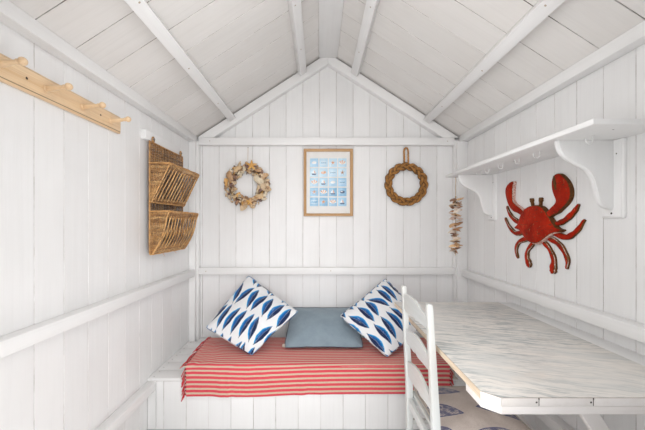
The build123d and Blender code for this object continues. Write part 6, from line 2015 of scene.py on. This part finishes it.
verts, flat, rim = [], [], []
for i in range(nx + 1):
    x = TX0 + (TX1 - TX0) * i / nx
    left, right = math.exp(-(x - TX0) / 0.13), math.exp(-(TX1 - x) / 0.06)
    hem_z = F + 0.199 - 0.013 * math.exp(-((x + 0.52) / 0.24) ** 2) - 0.004 * left + 0.003 * math.sin(x * 5)
    top_len = 0.9560 - (FRONT_Y + R)
    total = BACK + top_len + R * math.pi / 2 + (TOPZ - R - hem_z)
    for j in range(ny + 1):
        s = total * j / ny
        y, z = profile(s, hem_z)
        on_top = 1.0 if z > TOPZ - 0.002 else 0.0
        crease = noise.noise(Vector((x * 9 + y * 7, y * 3 - x * 2, 1.7)))
        ruck = noise.noise(Vector((x * 26 - y * 15, y * 11, 4.1)))
        lift = 0.0170 * left * max(0.0, ruck + 0.20) + 0.0050 * max(0.0, crease) * (0.25 + left) + 0.005 * right * max(0.0, ruck)
        inside = math.exp(-((y - 0.66) / 0.2) ** 2)
        if on_top:
            z += lift * (0.4 + 0.6 * inside)
        else:
            drop = max(0.0, TOPZ - z)
            ripple = noise.noise(Vector((x * 6.0, 2.2, z * 2.0))) + 0.7 * noise.noise(Vector((x * 15.0, 7.7, z * 3.0))) * (0.3 + left)
            y -= (0.004 + 0.011 * left) * min(1.0, drop / 0.12) * (ripple * 0.5 + 0.5)
        x2 = x + 0.006 * left * noise.noise(Vector((s * 11, 5.0, 0.0))) - 0.012 * left * math.exp(-((s - 0.12) / 0.12) ** 2)
        if on_top and y < 0.94:
            y += 0.048 * left * noise.noise(Vector((x * 15, y * 6, 8.8))) * inside
        verts.append(Vector((x2, y, z)))
        flat.append((x, total - s + 0.0008, 0.0))
        rim.append(1.0 if i in (0, nx) or j in (0, ny) else 0.0)
faces = [(i * (ny + 1) + j, (i + 1) * (ny + 1) + j, (i + 1) * (ny + 1) + j + 1, i * (ny + 1) + j + 1) for i in range(nx) for j in range(ny)]
bx = [Vector((sx, y, z)) for sx in (-1.0, 0.95) for y in (0.5235, 1.15) for z in (F + 0.10, F + 0.2878)]
box_faces = [(0, 1, 3, 2), (4, 6, 7, 5), (0, 4, 5, 1), (2, 3, 7, 6), (0, 2, 6, 4), (1, 5, 7, 3)]
held = [i * (ny + 1) + j for i in range(nx + 1) for j in range(3)]
moved = cloth_run(verts, faces, 12, gravity=1.0, walls=((pad_verts, pad_faces), (bx, box_faces)), pins=held, tension=25.0, bending=1.2)
kept = []
for a, b in zip(verts, moved):
    d = b - a
    if d.length > 0.014:
        d = d.normalized() * 0.014
    kept.append(a + d)
verts = kept
for i, q in enumerate(verts):
    if q.y > 0.53:
        q.z = max(q.z, TOPZ - 0.0022 if q.y < 0.955 else 0.0)
    elif q.z < F + 0.36:
        q.y = min(q.y, 0.5212)
throw = soft_mesh("striped_throw", verts, faces, flat, rim, [STRIPES], 1, 0.0022)
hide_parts("throw")

p = Part(21)
rng = p.rng
for end, sign in ((0, -1), (nx, 1)):
    line = [verts[end * (ny + 1) + j] for j in range(ny + 1)]
    run = [0.0]
    for a, b in zip(line, line[1:]):
        run.append(run[-1] + (b - a).length)
    s = 0.006
    while s < run[-1] - 0.003:
        j = next(n for n in range(ny) if run[n + 1] >= s)
        w = (s - run[j]) / max(1e-6, run[j + 1] - run[j])
        root = line[j] * (1 - w) + line[j + 1] * w
        hang = root.z < F + 0.355
        tilt = rng.uniform(-0.5, 0.5)
        size = rng.uniform(0.85, 1.15)
        reach = 1.0 if sign < 0 else 0.62
        if hang:
            out = Vector((sign * 0.80, -0.10 + 0.10 * rng.uniform(-1, 1), -0.35 + 0.20 * tilt)).normalized()
            fall = Vector((0, 0, -1))
        else:
            out = Vector((sign, -0.45 + 0.30 * tilt, 0.05)).normalized()
            fall = Vector((sign * 0.1, -0.25, -1)).normalized()
        # painted shade: the knots are darkened to stand for the dark gaps between the tassels at the hem
        tube(p, [root - out * 0.003, root + out * 0.0005, root + out * 0.0025, root + out * 0.0045, root + out * 0.0060], lambda t: 0.0018 + 0.0034 * math.sin(math.pi * min(1, t * 1.05)), 7, tint=-0.5, shade=lambda i, q: 0.75)
        bunch = rng.uniform(-0.004, 0.004)
        swing = sign * rng.uniform(0.014, 0.022) * reach
        for q4 in range(5):
            length = rng.uniform(0.036, 0.044) * size * reach * (1.0 if hang else 0.75)
            side = Vector((0, 1, 0)) if not hang else Vector((1.0, 0.5, 0.1))
            drift = side * (bunch * (0.3 if hang else 1.0) + rng.uniform(-0.0030, 0.0030)) + Vector((0, 0, 1)) * rng.uniform(-0.001, 0.002)
            path = []
            for n5 in range(7):
                t = n5 / 6
                if hang:
                    off = out * 0.0045 + Vector((swing * t, -0.003 * t, 0)) + fall * (length * t)
                else:
                    off = out * (0.0045 + length * t * (1 - 0.25 * t)) + fall * (length * 0.42 * t * t)
                path.append(root + off + drift * min(1.0, t * 2) + Vector((0, 0.0012 * math.sin(t * 9 + q4), 0)))
            tube(p, path, lambda t: 0.0021 - 0.0006 * t, 5, tint=rng.uniform(-1, 1))
        s += rng.uniform(0.0180, 0.0215) if hang else rng.uniform(0.0225, 0.0270)
fringe = p.make("throw_fringe", [RED_YARN], (), "red_stripe_cloth", angle=70)

# ------------------------------------------------- to the light and camera
# ------------------------------------------------------- camera and light
scene = bpy.context.scene
cam_data = bpy.data.cameras.new("camera")
cam_data.lens, cam_data.sensor_width = 36 * 326 / 645, 36.0
cam_data.shift_x, cam_data.shift_y = 3.9 / 645, 8.7 / 645
cam_data.clip_start = 0.02
cam = bpy.data.objects.new("camera", cam_data)
cam.location, cam.rotation_euler = (-0.072, -1.331, 1.263), (math.radians(90), 0, 0)
scene.collection.objects.link(cam)
scene.camera = cam

world = bpy.data.worlds.new("soft_sky")
scene.world = world
world.use_nodes = True
world.node_tree.nodes["Background"].inputs["Color"].default_value = (0.93, 0.95, 1.0, 1)
world.node_tree.nodes["Background"].inputs["Strength"].default_value = 0.55


def area(name, place, look, size, power, colour=(1, 1, 1), size_y=None):
    data = bpy.data.lights.new(name, "AREA")
    data.energy, data.color, data.size = power, colour, size
    if size_y:
        data.shape, data.size_y = "RECTANGLE", size_y
    o = bpy.data.objects.new(name, data)
    o.location = place
    o.rotation_euler = (Vector(look) - Vector(place)).to_track_quat("-Z", "Y").to_euler()
    o.visible_camera = False
    scene.collection.objects.link(o)
    return o


area("door_soft", (1.2, -7.2, 2.3), (0, 0.4, 1.1), 5.0, 190, (0.985, 0.99, 1.0), 3.2)
area("room_fill", (0.0, -0.42, 1.97), (-0.04, 1.1, 0.70), 0.8, 4.6, (0.985, 0.99, 1.0), 0.4)
area("floor_bounce", (-0.20, -0.30, 0.14), (-0.10, 0.25, 2.2), 1.0, 5.2, (1.0, 0.985, 0.97), 0.7)
area("left_fill", (0.05, -0.95, 1.05), (-1.0, 0.20, 1.02), 0.5, 6.8, (1.0, 0.995, 0.99), 0.9)
area("right_fill", (-0.35, -0.85, 1.35), (0.95, 0.35, 1.48), 0.6, 5.2, (1.0, 0.99, 0.98), 0.8)
area("high_soft", (3.5, -3.0, 5.5), (0, 0, 1.0), 4.0, 120, (1.0, 0.98, 0.95))
area("back_soft", (-3.5, 4.0, 4.5), (0, 0, 1.0), 4.0, 90, (0.96, 0.98, 1.0))

me = bpy.data.meshes.new("ground")
me.from_pydata([(-14, -14, 0), (14, -14, 0), (14, 14, 0), (-14, 14, 0)], [], [(0, 1, 2, 3)])
ground = bpy.data.objects.new("ground", me)
k = Tree("ground_grey", Roughness=0.85)
n = k.noise(k.obj(), 4.0, 3.0)
me.materials.append(k.set(Base_Color=k.mix(n, (0.60, 0.60, 0.59), (0.64, 0.64, 0.63))))
scene.collection.objects.link(ground)
ground.location.z = -0.0005

scene.view_settings.view_transform = "Standard"
